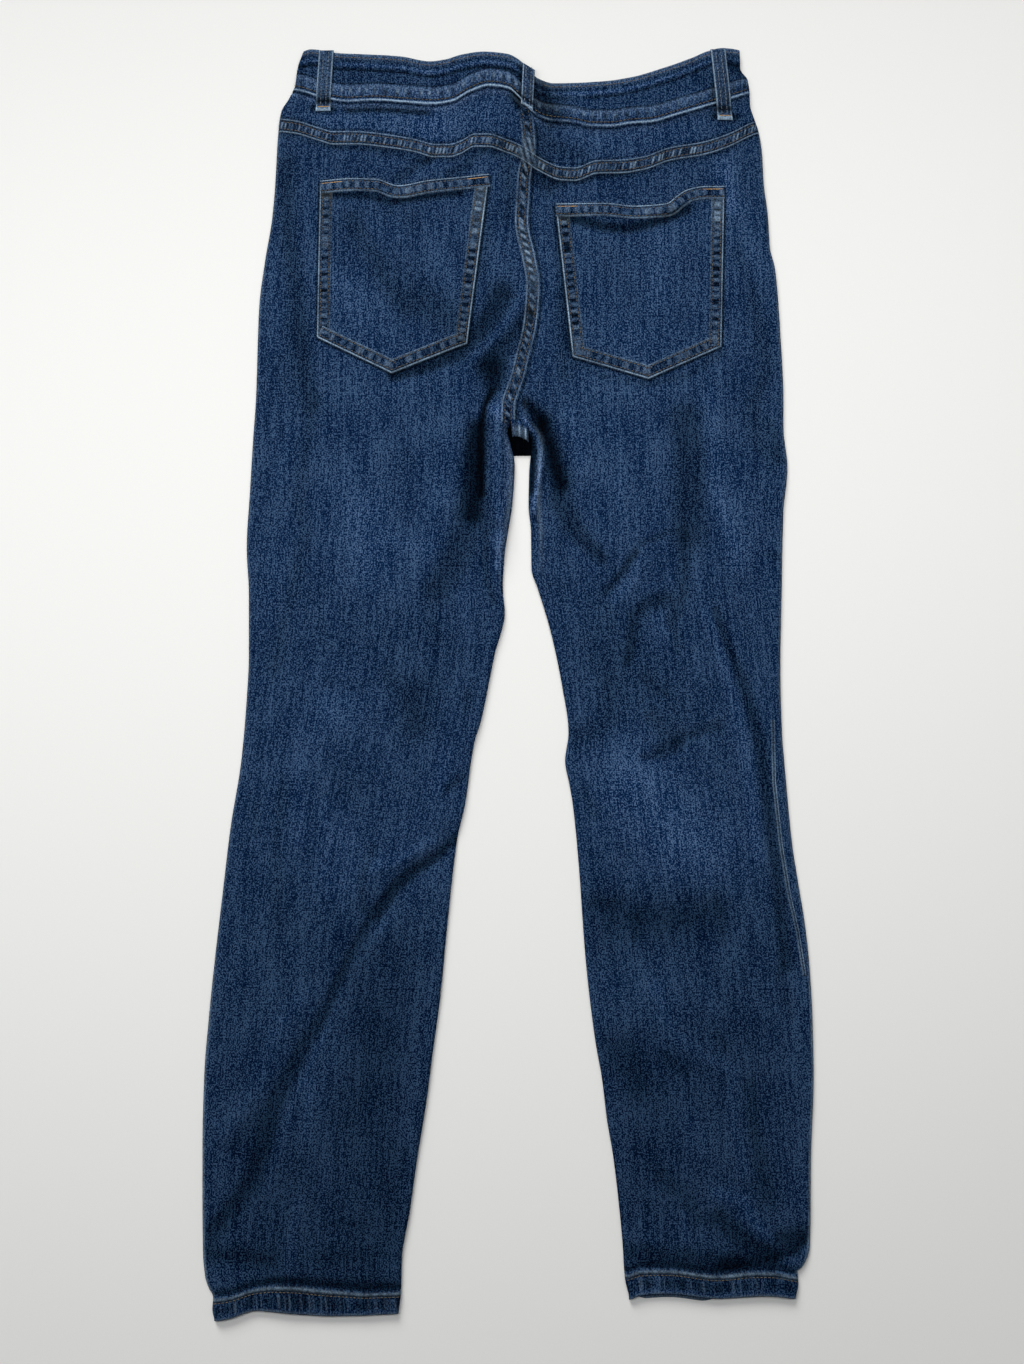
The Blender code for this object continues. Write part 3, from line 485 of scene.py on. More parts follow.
def bump(value: Array | float, middle: float, reach: float) -> Array:
    """A soft bump, 1 at its middle, about a third at its reach and near 0 beyond twice that."""
    return np.exp(-(((np.asarray(value, float) - middle) / reach) ** 2))


def mix(a: Array | float, b: Array | float, share: Array | float) -> Array | float:
    """The value between a and b at a share of the way."""
    return a + (b - a) * share


def stack(*parts: Array | float) -> Array:
    """Joins coordinates into points, on the last axis."""
    return np.stack(np.broadcast_arrays(*parts), axis=-1)


def beads(along: Array, pitch: float, seed: float) -> Array:
    """Uneven swells along a seam, as cloth makes between the stitches when it shrinks.

    Args:
        along: Distance along the seam.
        pitch: Mean distance from one swell to the next.
        seed: Shifts the pattern.

    Returns:
        Values from about -1 to 1.
    """
    drift = 1.3 * np.sin(along / (2.3 * pitch) + seed)
    drift = drift + 0.9 * np.sin(along / (4.1 * pitch) + 2 * seed)
    size = 0.7 + 0.3 * np.sin(along / (1.7 * pitch) + 3 * seed)
    return size * np.sin(2 * math.pi * along / pitch + drift)


def blotches(along: Array, pitch: float, seed: int) -> Array:
    """Wear that comes and goes along a seam with no rhythm.

    Args:
        along: Distance along the seam.
        pitch: Mean distance from one worn place to the next.
        seed: Seed of the pattern.

    Returns:
        Values from -1 to 1.
    """
    levels = np.random.default_rng(seed).uniform(-1.0, 1.0, 997)
    place = np.asarray(along, float) * 2 / pitch + 400
    index = np.floor(place).astype(int)
    share = ease(place - index, 0.0, 1.0)
    return mix(levels[index % 997], levels[(index + 1) % 997], share)


def crossing(x: Array, y: Array) -> Array:
    """Share of the thick lump where the centre seam meets the yoke seam."""
    return bump(x, CROSSING[0], 8.0) * bump(y, CROSSING[1], 12.0)


def lump(x: Array, y: Array) -> Array:
    """Share of pale thread in upright streaks on that lump."""
    streaks = 0.5 + 0.5 * np.sin(2 * math.pi * (x + 0.25 * (y - 455.0)) / 4.6)
    return 0.34 * crossing(x, y) * streaks


def ripple(x: Array, y: Array, height: float = 0.42, shortest: float = 16.0,
           longest: float = 90.0, waves: int = 18, seed: int = 4) -> Array:
    """The slight unevenness of cloth that was not pressed, as a sum of soft waves.

    Args:
        x: Places across.
        y: Places along.
        height: Overall height of the waves.
        shortest: Shortest wavelength.
        longest: Longest wavelength.
        waves: How many there are.
        seed: Seed of their directions.

    Returns:
        The height at each place.
    """
    dice = np.random.default_rng(seed)
    total = np.zeros(np.shape(x))
    for wave in range(waves):
        length = mix(shortest, longest, (wave / (waves - 1)) ** 1.4)
        angle = dice.uniform(-0.9, 0.9)
        phase = dice.uniform(0, 2 * math.pi)
        way = (x * math.cos(angle) + y * math.sin(angle) * 0.6) * 2 * math.pi / length
        total += (length / longest) ** 0.6 * np.sin(way + phase)
    return height * total / math.sqrt(waves)


class Lay:
    """The heights at which the upper layer lies, and its painted lightness: dye, with painted light
    and shade.

    Attributes:
        large: The largest folds.
        fine: The creases.
        patches: Broad differences of the dye, partly painted light and shade of broad folds.
        darkest: Lightness that no crease goes under.
    """

    large = tuple(Fold((reach, reach), rise, 0.0, ((x0, y0), (x1, y1)))
                  for reach, rise, x0, y0, x1, y1 in LARGE_FOLDS)
    fine = tuple(Fold((row[0], row[1]), row[2], row[3], tuple(zip(row[4::2], row[5::2])))
                 for row in CREASES)
    patches = tuple(Fold((reach, reach), 0.0, shade, ((x0, y0), (x1, y1)))
                    for reach, shade, x0, y0, x1, y1 in TONES)
    darkest = 0.04

    @classmethod
    def relief(cls, x: Array, y: Array) -> Array:
        """Folds, creases and ripples together."""
        folds = sum(fold.rise * fold.spread(x, y) for fold in cls.large + cls.fine if fold.rise)
        return folds + ripple(x, y)

    @classmethod
    def panel(cls, x: Array, y: Array) -> Array:
        """Height of the outer face of the legs and the yoke."""
        return np.maximum(LIE + cls.relief(x, y), LOWEST_LIE)

    @classmethod
    def band(cls, x: Array, y: Array) -> Array:
        """Height of the outer face of the waistband."""
        return np.maximum(BAND_LIE + cls.relief(x, y), LOWEST_BAND)

    @classmethod
    def tone(cls, points: Array) -> Array:
        """How light the cloth is painted, 1 being the dye's mean, with painted shade and highlight
        of folds.

        Args:
            points: Where to read it.

        Returns:
            The lightness at each point.
        """
        x, y = points[..., 0], points[..., 1]
        tone = 1.0 + sum(patch.shade * patch.spread(x, y) for patch in cls.patches)
        for fold in cls.fine:
            share = fold.spread(x, y)
            # A sharp crease's painted shade is dark over its whole width.
            if fold.shade < -0.45:  # a sharp crease is dark over its whole width
                share = 1 - (1 - share) ** 2
            tone = tone * (1.0 + fold.shade * share)
        return np.maximum(tone, cls.darkest)


@dataclass
class Grid:
    """Points of a sheet of cloth in rows, with its cloth coordinates and its wear.

    Attributes:
        points: Places, rows by columns by 3.
        cloth: Distance along the weft and the warp, rows by columns by 2.
        tone: Painted lightness: the dye's, with painted light and shade.
        ticks: Share of the short bars that wear leaves across a stitched fold.
        edge: Share of the pale thread that shows where a fold's edge is worn through, also painted
            highlight on the inner thigh's rolled edge.
    """

    points: Array
    cloth: Array
    tone: Array | float
    ticks: Array | float = 0.0
    edge: Array | float = 0.0

    def make(self, name: str, wall: float, finish: Material) -> Piece:
        """Makes the sheet as an object.

        Args:
            name: The piece's name.
            wall: Thickness, laid inwards from the points.
            finish: Its material.

        Returns:
            The new piece, at the origin.
        """
        rows, columns = self.points.shape[:2]
        bpy.ops.mesh.primitive_grid_add(x_subdivisions=columns - 1, y_subdivisions=rows - 1,
                                        size=1.0)
        piece = bpy.context.active_object
        piece.name = piece.data.name = name
        mesh = piece.data
        mesh.vertices.foreach_set("co", (self.points * MM).astype(np.float32).ravel())
        corner = np.empty(len(mesh.loops), np.int32)
        mesh.loops.foreach_get("vertex_index", corner)
        layer = mesh.uv_layers.active
        layer.name = CLOTH_UV
        layer.data.foreach_set(
            "uv", (self.cloth.reshape(-1, 2)[corner] * MM).astype(np.float32).ravel())
        for wear in ("tone", "ticks", "edge"):
            values = np.broadcast_to(getattr(self, wear), (rows, columns))
            data = mesh.attributes.new(wear, "FLOAT", "POINT").data
            data.foreach_set("value", values.astype(np.float32).ravel())
        mesh.materials.clear()
        mesh.materials.append(finish)
        mesh.shade_smooth()
        solidify = piece.modifiers.new("Wall", "SOLIDIFY")
        solidify.thickness = wall * MM
        solidify.offset = -1.0
        mesh.update()
        return piece


def deselect_all() -> None:
    """Leaves nothing selected, so that an operator acts on new pieces alone."""
    for obj in bpy.context.selected_objects:
        obj.select_set(False)


def join(pieces: Sequence[Piece], name: str) -> Piece:
    """Joins pieces into one object.

    Args:
        pieces: The pieces, whose modifiers are applied first.
        name: The name of the joined piece.

    Returns:
        The joined piece.
    """
    deselect_all()
    for piece in pieces:
        bpy.context.view_layer.objects.active = piece
        for modifier in list(piece.modifiers):
            bpy.ops.object.modifier_apply(modifier=modifier.name)
        piece.select_set(True)
    bpy.context.view_layer.objects.active = pieces[0]
    bpy.ops.object.join()
    whole = bpy.context.view_layer.objects.active
    whole.name = whole.data.name = name
    deselect_all()
    return whole


@dataclass(frozen=True)
class Half:
    """The outline of one side of the garment, and rows of points across it.

    Attributes:
        side: Which side.
    """

    side: Side

    def edges(self, level_of: Level) -> tuple[float, float]:
        """Outer and inner x of a row.

        Args:
            level_of: y of the row at each x.

        Returns:
            x at the outer edge and x at the inner edge.
        """
        outer, inner = self.side.sign * 220.0, 0.0
        for _ in range(ROUNDS):
            outer = float(OUTSEAM[self.side](level_of(np.array(outer))))
            inner = float(INSEAM[self.side](level_of(np.array(inner))))
        return outer, inner

    def rows(self, levels: Sequence[Level], middle: int, raised: Array | float = 0.0,
             lie: Level = Lay.panel, rim: float = RIM, sag: float = 0.0) -> Array:
        """Rows of points from left to right, rolled down at their sides.

        Args:
            levels: y of each row at each x.
            middle: Number of columns between the rolled edges.
            raised: How much higher than the outer face each row lies.
            lie: Height of that face at each point.
            rim: Height at which a rolled edge ends.
            sag: How much lower than that it comes down.

        Returns:
            Points, rows by columns by 3.
        """
        inward = -self.side.sign
        turn = np.radians([0, 15, 30, 45, 60, 75, 90])
        rolled = np.r_[0.0, SIDE_ROLL * (1 - np.cos(turn))]
        share = np.r_[0.0, mix(0.25, 1.0, np.sin(turn))]
        flat = np.linspace(0.0, SIDE_ROLL * 2, len(rolled))
        rows = []
        for level_of, height in zip(levels, np.broadcast_to(raised, len(levels))):
            outer, inner = self.edges(level_of)
            y_inner = float(level_of(np.array(inner)))
            open_leg = 1.0 - float(ease(y_inner, CROTCH - PARTING, CROTCH + PARTING / 2))
            first = outer + inward * rolled
            last = inner - inward * mix(flat, rolled, open_leg)
            between = np.linspace(first[-1], last[-1], middle + 2)[1:-1]
            x = np.r_[first, between, last[::-1]]
            y = level_of(x)
            near_share = mix(1.0, share, open_leg)
            height_share = np.r_[share, np.ones(middle), near_share[::-1]]
            z = rim - sag + (lie(x, y) + height - rim + sag) * height_share
            rows.append(stack(x, y, z))
        points = np.array(rows)
        return points if self.side is Side.LEFT else points[:, ::-1]

    def cloth_of(self, points: Array) -> Array:
        """Cloth coordinates of a panel's points, with the warp along the leg.

        Args:
            points: The panel's points.

        Returns:
            Distances along the weft and along the warp.
        """
        x, y = points[..., 0], points[..., 1]
        middle = (OUTSEAM[self.side](y) + INSEAM[self.side](np.minimum(y, 200.0))) / 2
        return stack(x - middle, y)


def across_level(side: Side, level: float) -> Level:
    """y of a panel's row at a nominal level, slanting with the yoke seam or the hem near it.

    Args:
        side: Which side.
        level: The row's nominal y.

    Returns:
        A function that gives y at each x.
    """
    low = HEM_LEVEL[side]
    top_share = float(ease(level, YOKE_LEVEL - FOLLOW, YOKE_LEVEL))
    low_share = 1 - float(ease(level, low + HEM_DEPTH, low + HEM_DEPTH + HEM_FOLLOW))
    return lambda x: (level + top_share * (YOKE_SEAM(x) - YOKE_LEVEL)
                      + low_share * (HEM[side](x) - low))


def hem_level(side: Side, up: float) -> Level:
    """y of a row at a mean height over the hem's lower edge, which its ridge's height scales."""
    return lambda x: HEM[side](x) + up * HEM_RIDGE[side](x) / RIDGE_DEPTH


def seam_level(seam: Line, away: float) -> Level:
    """y of a row that runs along a seam at a distance above it."""
    return lambda x: seam(x) + away


def level_between(low: Line, high: Line, share: float, gap: float = 0.0) -> Level:
    """y of a row at a share of the way from one seam to another, a gap in from both."""
    return lambda x: mix(low(x) + gap, high(x) - gap, share)


def worn_edge_and_highlight(x: Array, y: Array, side: Side) -> Array:
    """Pale share along the lower leg's worn outseam and, partly as painted highlight, the thigh's
    inner edge.

    Args:
        x: Places across.
        y: Places along.
        side: Which side.

    Returns:
        Shares from 0 to 1.
    """
    outer = (OUTSEAM[side](y) - x) * side.sign
    inner = (x - INSEAM[side](y)) * side.sign
    low = 0.12 + 0.18 * (1 - ease(y, -300.0, -220.0))
    thigh = bump(y, 165.0, 48.0)
    broken = 0.72 + 0.28 * blotches(y, 12.0, 5 + side.sign)
    # The thigh's rolled inner edge is paler partly as painted highlight.
    roll = bump(inner, 2.6, 1.5) if side is Side.LEFT else bump(inner, 8.4, 1.6)
    outline = low * bump(outer, 1.2, 0.9) + 0.26 * thigh * roll
    return np.clip(outline * broken, 0, 1)


@dataclass
class BackPanel:
    """A back leg panel with its turned-up hem.

    Attributes:
        half: The side's outline.
        denim: Its finish.
        columns: Columns between the rolled edges.
        hem_columns: The same on the hem.
        step: Distance between rows.
        hem_crease: How far over the hem's ridge the panel dips.
        bar_pitch: Mean distance from one fine pleat of the hem to the next.
    """

    half: Half
    denim: Material
    columns: int = 96
    hem_columns: int = 230
    step: float = 3.0
    hem_crease: float = 4.6
    bar_pitch: float = 2.5

    def shell(self) -> Piece:
        """Makes the panel's outer cloth, from the hem to the yoke seam."""
        side = self.half.side
        low = HEM_LEVEL[side]
        count = int((YOKE_LEVEL - low) / self.step)
        levels = [low + 0.5, low + 1.2, *np.linspace(low + 2.5, YOKE_LEVEL, count)]
        points = self.half.rows([across_level(side, level) for level in levels], self.columns)
        x, y = points[..., 0], points[..., 1]
        under_fell = bump(FELL_TOP(x) - y, FELL_WIDTH + 1.8, 1.6)
        above_hem = bump(y - HEM[side](x) - HEM_RIDGE[side](x), self.hem_crease, 3.0)
        points[..., 2] -= 0.9 * above_hem
        # Painted shadow under the yoke's fell, and painted shade in the dip over the hem's ridge.
        tone = Lay.tone(points) * (1 - 0.45 * under_fell) * (1 - 0.72 * above_hem)
        grid = Grid(points, self.half.cloth_of(points), tone, edge=worn_edge_and_highlight(x, y, side))
        return grid.make(f"back_{side.value}_shell", DENIM, self.denim)

    def hem(self) -> Piece:
        """Makes the turned-up hem, a worn fold with a pale upper ridge."""
        side = self.half.side
        up, rise = np.array(HEM_PROFILE).T
        points = self.half.rows([hem_level(side, height) for height in up], self.hem_columns,
                                rise, sag=0.4)
        x, v = points[..., 0], up[:, None]
        swell = blotches(x, 15.0, 31 + side.sign)
        bars = np.clip(blotches(x + 0.12 * v, self.bar_pitch, 7 + side.sign), -1, 1)
        inner = plateau(v, 1.5, 5.0, 11.5, 14.0)
        points[..., 2] += (0.4 * swell + 0.2 * bars) * inner
        body = 0.82 + 0.75 * (1 - ease(v, 1.0, 6.0)) - 0.2 * bump(v, 9.0, 2.5)
        # The dip between the stitches and the ridge is painted shade.
        tone = body * (1 + (0.3 * swell + 0.42 * bars) * inner) * (1 - 0.8 * bump(v, 15.6, 0.8))
        ridge = bump(v, 17.0, 1.1) * (0.66 + 0.34 * blotches(x, 5.0, 12))
        edge = 0.44 * ridge + 0.34 * bump(v, 0.8, 0.8) * (1 + 0.6 * swell)
        edge = edge + 0.15 * inner * np.clip(bars - 0.3, 0, 1)
        grid = Grid(points, stack(x, v), Lay.tone(points) * np.maximum(tone, 0.25), 0.3 * inner,
                    edge)
        return grid.make(f"hem_{side.value}", FOLD_CLOTH, self.denim)

    def make(self) -> list[Piece]:
        """Makes the panel, its hem and on the right the outseam's ridge.

        Returns:
            The shell first, then what is on it.
        """
        pieces = [self.shell(), self.hem()]
        if self.half.side is Side.RIGHT:
            strip = Strip(3.4, thick=0.7, twist=0.15, pitch=6.0, inset=1.7, near_edge=0.34,
                          far_edge=0.24, light=1.1, contrast=0.4, wear=0.1, shade=0.5)
            grid = strip.grid(np.array(OUTSEAM_RIDGE, float), Lay.panel, 61)
            pieces.append(grid.make("outseam_ridge", EDGE_CLOTH, self.denim))
        return pieces


@dataclass
class Yoke:
    """A back yoke with the felled seam along its lower edge.

    Attributes:
        half: The side's outline.
        denim: Its finish.
        columns: Columns between the rolled edges.
        fell_columns: The same on the fell.
        lip: How far under the waistband's seam the raised, lighter lip lies.
        trough: The same of the trough under it, which is painted shade.
    """

    half: Half
    denim: Material
    columns: int = 130
    fell_columns: int = 300
    lip: float = 4.6
    trough: float = 7.8

    def shell(self) -> Piece:
        """Makes the yoke's outer cloth, which dips where the waistband is sewn on."""
        side = self.half.side
        points = self.half.rows([level_between(YOKE_SEAM, WAIST_SEAM, share, SEAM_GAP)
                                 for share in np.linspace(0, 1, 42)], self.columns)
        x, y = points[..., 0], points[..., 1]
        below = WAIST_SEAM(x) - y
        trough = bump(below, self.trough, 3.0) * plateau(x, -146, -134, -72, -58)
        line = bump(below, 2.5, 0.5)
        lip = bump(below, self.lip, 1.7) * (1 - 0.7 * ease(x, 20, 50))
        points[..., 2] += 0.5 * lip - 1.3 * trough
        points[..., 2] = np.maximum(points[..., 2], 2.4)
        over_fell = bump(y - FELL_TOP(x), 1.5, 0.9)
        # Painted shadow in a thin line under the waistband's ridge and over the fell, painted shade
        # in the trough; the raised lip is lighter.
        tone = Lay.tone(points) * (1 - 0.62 * line) * (1 + 0.6 * lip) * (1 - 0.72 * trough)
        tone = tone * (1 - (0.6 if side is Side.LEFT else 0.42) * over_fell)
        grid = Grid(points, self.half.cloth_of(points), tone, edge=0.05 * lip)
        return grid.make(f"yoke_{side.value}_shell", DENIM, self.denim)

    def fell(self) -> Piece:
        """Makes the lapped and twice stitched seam, with the bars that wear leaves on it."""
        down, rise = np.array(FELL_PROFILE).T
        points = self.half.rows([seam_level(FELL_TOP, -away) for away in down],
                                self.fell_columns, rise, sag=0.3)
        x, y, v = points[..., 0], points[..., 1], down[:, None]
        between = plateau(v, 2.6, 3.8, 7.8, 9.0)
        bars = 0.6 * beads(x + 0.25 * v, 3.0, 0.3) + 0.7 * blotches(x + 0.3 * v, 5.0, 21)
        blots = blotches(x, 20.0, 8)
        points[..., 2] += (0.3 * bars + 0.25 * beads(x, 11.0, 1.1)) * between
        points[..., 2] += 1.4 * crossing(x, y)
        groove = bump(v, 1.9, 0.7) + bump(v, 9.6, 0.7)
        # The two stitch grooves are painted shade.
        tone = (0.9 + 0.25 * blots + between * np.minimum(bars, 0)) * (1 - 0.65 * groove)
        edge = 0.34 * bump(v, 0.5, 0.5) + 0.56 * bump(v, 10.9, 0.42)
        edge = edge * (0.8 + 0.2 * blots) + between * np.clip(0.5 * bars - 0.05, 0, 1) + 0.01
        edge = edge * (1 - 0.6 * crossing(x, y)) + lump(x, y)
        grid = Grid(points, stack(x, v), Lay.tone(points) * np.maximum(tone, 0.2), 0.25 * between,
                    edge)
        return grid.make(f"yoke_fell_{self.half.side.value}", FOLD_CLOTH, self.denim)

    def make(self) -> list[Piece]:
        """Makes the yoke's shell, then its fell."""
        return [self.shell(), self.fell()]


@dataclass
class Waistband:
    """The back of the waistband, with its rolled lower ridge.

    Attributes:
        denim: Its finish.
        columns: Columns between the edges of one side.
        ridge_columns: The same on the ridge.
        dashes: Height of the row of worn dashes over the seam.
        turned_in: How far up the turned-in allowance raises the cloth.
        upper_ridge: How far under the upper edge the upper ridge lies.
        crease: The same of the crease under it.
    """

    denim: Material
    columns: int = 170
    ridge_columns: int = 240
    dashes: float = 8.4
    turned_in: float = 14.6
    upper_ridge: float = 10.2
    crease: float = 13.7

    def rows(self, levels: Sequence[Level], rises: Array, columns: int) -> Array:
        """Rows across both sides in one.

        Args:
            levels: y of each row at each x.
            rises: How far each row stands off the face.
            columns: Columns between the edges of one side.

        Returns:
            Points, rows by columns by 3.
        """
        left, right = (Half(side).rows(levels, columns, rises, Lay.band, BAND_RIM)
                       for side in Side)
        return np.concatenate([left[:, :-1], right[:, 1:]], axis=1)

    def shell(self) -> Piece:
        """Makes the band's outer cloth, which rounds over its upper edge."""
        shares = np.r_[np.linspace(0, 0.9, 64), 0.925, 0.95, 0.97, 0.985, 1.0]
        rises = np.r_[-0.5, np.zeros(64), -0.1, -0.35, -0.9, -2.0]
        levels = [level_between(WAIST_SEAM, BAND_TOP, share) for share in shares]
        points = self.rows(levels, rises, self.columns)
        x, y = points[..., 0], points[..., 1]
        up = shares[:, None] * (BAND_TOP(x) - WAIST_SEAM(x))
        down = BAND_TOP(x) - WAIST_SEAM(x) - up
        on_left = 1 - ease(x, 10, 20)
        turned_in = plateau(up, 1.5, 4.0, 12.0, self.turned_in)
        lower = turned_in * (0.3 + 0.4 * on_left) + 0.6 * bump(up, 9.6, 1.6) * (1 - on_left)
        lower = lower * (1 - 0.5 * plateau(x, 20, 24, 40, 64))
        pucker = bump(up, 6.6, 2.6) * np.clip(-beads(x, 9.2, 0.6), 0, 1)
        upper = bump(down, self.upper_ridge, 1.5)
        blots = beads(x, 11.5, 1.9)
        creased = 0.88 * on_left + (1 - on_left) * (0.25 + 0.5 * ease(x, 60, 76))
        crease = bump(down, self.crease, 1.5) * creased * (0.85 + 0.15 * blots)
        points[..., 2] += 0.9 * turned_in + 0.5 * upper * (1 + 0.3 * blots) - 1.4 * crease
        points[..., 2] -= 0.5 * pucker
        tone = 1 + 0.42 * lower + 0.55 * upper * (0.85 + 0.3 * blots) + 0.25 * bump(down, 3.2, 1.4)
        tone = tone * (1 - 0.26 * ease(up, 14.0, 18.0) * ease(down, 11.5, 14.0))
        tone = tone * (1 - 0.35 * bump(down, 6.7, 1.2)) * (1 - 0.8 * pucker)
        # Painted shade in the stitch groove over the seam, in the crease, beside the centre loop
        # and at the step where the turned-in allowance ends.
        tone = tone * (1 - 0.6 * bump(up, BAND_STITCH, 0.9)) * (1 - 0.93 * crease)
        tone = tone * (1 - 0.4 * plateau(x, 20, 24, 34, 60))
        tone = tone * (1 - 0.72 * bump(up, 13.3 + 0.9 * on_left, 1.2))
        edge = 0.035 * lower + 0.06 * bump(up, 11.2, 1.3) + 0.03 * upper * np.clip(blots, 0, 1)
        edge = edge + 0.07 * bump(down, 3.6, 1.5) + 0.13 * bump(down, 0.9, 0.9)
        dashes = np.clip(beads(x, 6.8, 0.4) + 0.5 * blotches(x, 5.0, 17) - 0.15, 0, 1)
        edge = edge + (0.20 + 0.22 * on_left) * bump(up, self.dashes, 1.7) * dashes
        grid = Grid(points, stack(x, y), Lay.tone(points) * np.maximum(tone, 0.1), 0.12 * lower,
                    edge)
        return grid.make("waistband_shell", BAND_CLOTH, self.denim)

    def ridge(self) -> Piece:
        """Makes the pale ridge in which the band's lower edge is turned in."""
        away, rises = np.array(BAND_RIDGE_PROFILE).T
        points = self.rows([seam_level(WAIST_SEAM, place - 0.8) for place in away], rises,
                           self.ridge_columns)
        x, v = points[..., 0], away[:, None]
        worn = 0.34 + 0.24 * plateau(x, -126, -106, 10, 24)
        worn = worn - 0.24 * plateau(x, 14, 26, 60, 96) + 0.10 * plateau(x, 90, 108, 165, 180)
        edge = 1.7 * bump(v, 0.25, 0.58) * np.clip(worn + 0.07 * beads(x, 17.0, 0.2), 0, 1)
        grid = Grid(points, stack(x, v), Lay.tone(points) * 1.1, edge=edge)
        return grid.make("waistband_ridge", FOLD_CLOTH, self.denim)

    def make(self) -> list[Piece]:
        """Makes the band's shell, then its ridge."""
        return [self.shell(), self.ridge()]


def resample(path: Array, pitch: float) -> tuple[Array, Array, Array]:
    """Evenly spaced places along a path.

    Args:
        path: Points of the path, count by 2.
        pitch: Wanted distance between places.

    Returns:
        The places, the unit directions there, and the distances along the path.
    """
    lengths = np.r_[0.0, np.cumsum(np.hypot(*np.diff(path, axis=0).T))]
    count = max(int(round(lengths[-1] / pitch)) + 1, 2)
    along = np.linspace(0.0, lengths[-1], count)
    places = stack(*(np.interp(along, lengths, path[:, axis]) for axis in (0, 1)))
    return places, directions(places), along


def directions(path: Array) -> Array:
    """Unit directions along a path."""
    ways = np.gradient(path, axis=0)
    return ways / np.linalg.norm(ways, axis=1, keepdims=True)


def offset_path(path: Array, away: float) -> Array:
    """A path moved to the left of its own direction by a distance."""
    ways = directions(path)
    return path + stack(-ways[:, 1], ways[:, 0]) * away


def line_path(line: Line, start: float, end: float, away: float) -> Array:
    """Points from one x to another along a seam that runs across, at a distance above it."""
    x = np.linspace(start, end, 160)
    return stack(x, line(x) + away)


@dataclass(frozen=True)
class Strip:
    """A narrow stitched fold that runs along a path and lies on a panel.

    Attributes:
        width: Its width, to the left of the path's direction.
        thick: How far it stands off its panel.
        twist: Height of the rope-like swells between its stitch rows.
        pitch: Distance from one swell to the next.
        slant: How far a swell leans along the strip from one edge to the other.
        inset: Distance from each edge to its row of stitches.
        near_edge: Share of pale worn thread on the path's own edge.
        far_edge: The same on the other edge.
        light: Lightness of its dye.
        contrast: How much darker the hollows between the swells are.
        wear: Share of pale worn thread on top of the swells.
        shade: Width of the painted shadow beside the path's own edge.
        seat: How far that shadow's strip of cloth lies below what the strip lies on.
        step: Distance between its points along the path.
    """

    width: float
    thick: float = 0.85
    twist: float = 0.3
    pitch: float = 5.0
    slant: float = 0.0
    inset: float = 2.4
    near_edge: float = 0.4
    far_edge: float = 0.16
    light: float = 0.95
    contrast: float = 0.55
    wear: float = 0.22
    shade: float = 2.2
    seat: float = -0.1
    step: float = 0.9

    def grid(self, path: Array, lie: Level, seed: int = 0, glow: Level | None = None) -> Grid:
        """The strip's points and wear.

        Args:
            path: Points of its near edge, count by 2.
            lie: Height of what it lies on.
            seed: Seed of the swells and of the wear.
            glow: How much more the strip is worn at each y, if anywhere.

        Returns:
            The grid of the strip.
        """
        places, ways, along = resample(path, self.step)
        count = max(int(self.width / 0.6), 6)
        v = np.r_[-self.shade, -0.75 * self.shade, -0.5 * self.shade, -0.3, 0.0,
                  np.linspace(0.5, self.width - 0.5, count), self.width, self.width + 0.25]
        v = v[:, None]
        x = places[:, 0] - ways[:, 1] * v
        y = places[:, 1] + ways[:, 0] * v
        inside = np.minimum(v, self.width - v)
        groove = bump(inside, self.inset - 0.5, 0.7)
        profile = ease(inside, -0.3, 0.7) - 0.35 * groove
        between = ease(inside, self.inset - 0.2, self.inset + 1.2)
        lean = along + self.slant * v / self.width
        swells = 0.75 * beads(lean, self.pitch, seed) + 0.65 * blotches(lean, self.pitch, seed)
        swells = np.tanh(1.8 * swells)
        fine = blotches(lean, 3.0, seed + 1)
        hollow = ease(-v, 0.1, 0.45)
        under = lie(x, y)
        z = under + self.thick * (profile * 1.4 - 0.4)
        z = z + self.twist * between * (swells + 0.3 * fine)
        z = mix(z, under - self.seat, hollow)
        extra = (glow(y) if glow else 0.0) * (1 - hollow)
        worn = 0.8 + 0.15 * blotches(along, 7.3, seed + 2) + 0.35 * blotches(along, 36.0, seed + 3)
        edge = 1.15 * self.near_edge * bump(v, 0.45, 0.46) * worn
        edge = edge + self.far_edge * bump(v, self.width - 0.6, 0.7) * worn
        wear = (self.wear + extra) * between * worn
        edge = edge + wear * np.clip(0.1 + 0.9 * swells + 0.4 * fine, 0, 1)
        edge = (edge * (1 - 0.6 * crossing(x, y)) + 0.35 * extra + lump(x, y)) * (1 - hollow)
        tone = 1 + self.contrast * between * np.minimum(swells + 0.4 * fine, 0)
        # The stitch grooves are painted shade, and the cloth beside the path's own edge is a
        # painted shadow.
        tone = self.light * tone * (1 - 0.5 * groove) * (0.75 + 0.25 * worn)
        dark = bump(v, -0.45 * self.shade, 0.42 * self.shade)
        tone = mix(tone, 1 - 0.85 * dark, hollow)
        points = stack(x, y, z)
        return Grid(points, stack(lean, v), Lay.tone(points) * np.maximum(tone, 0.1),
                    0.25 * between, edge)


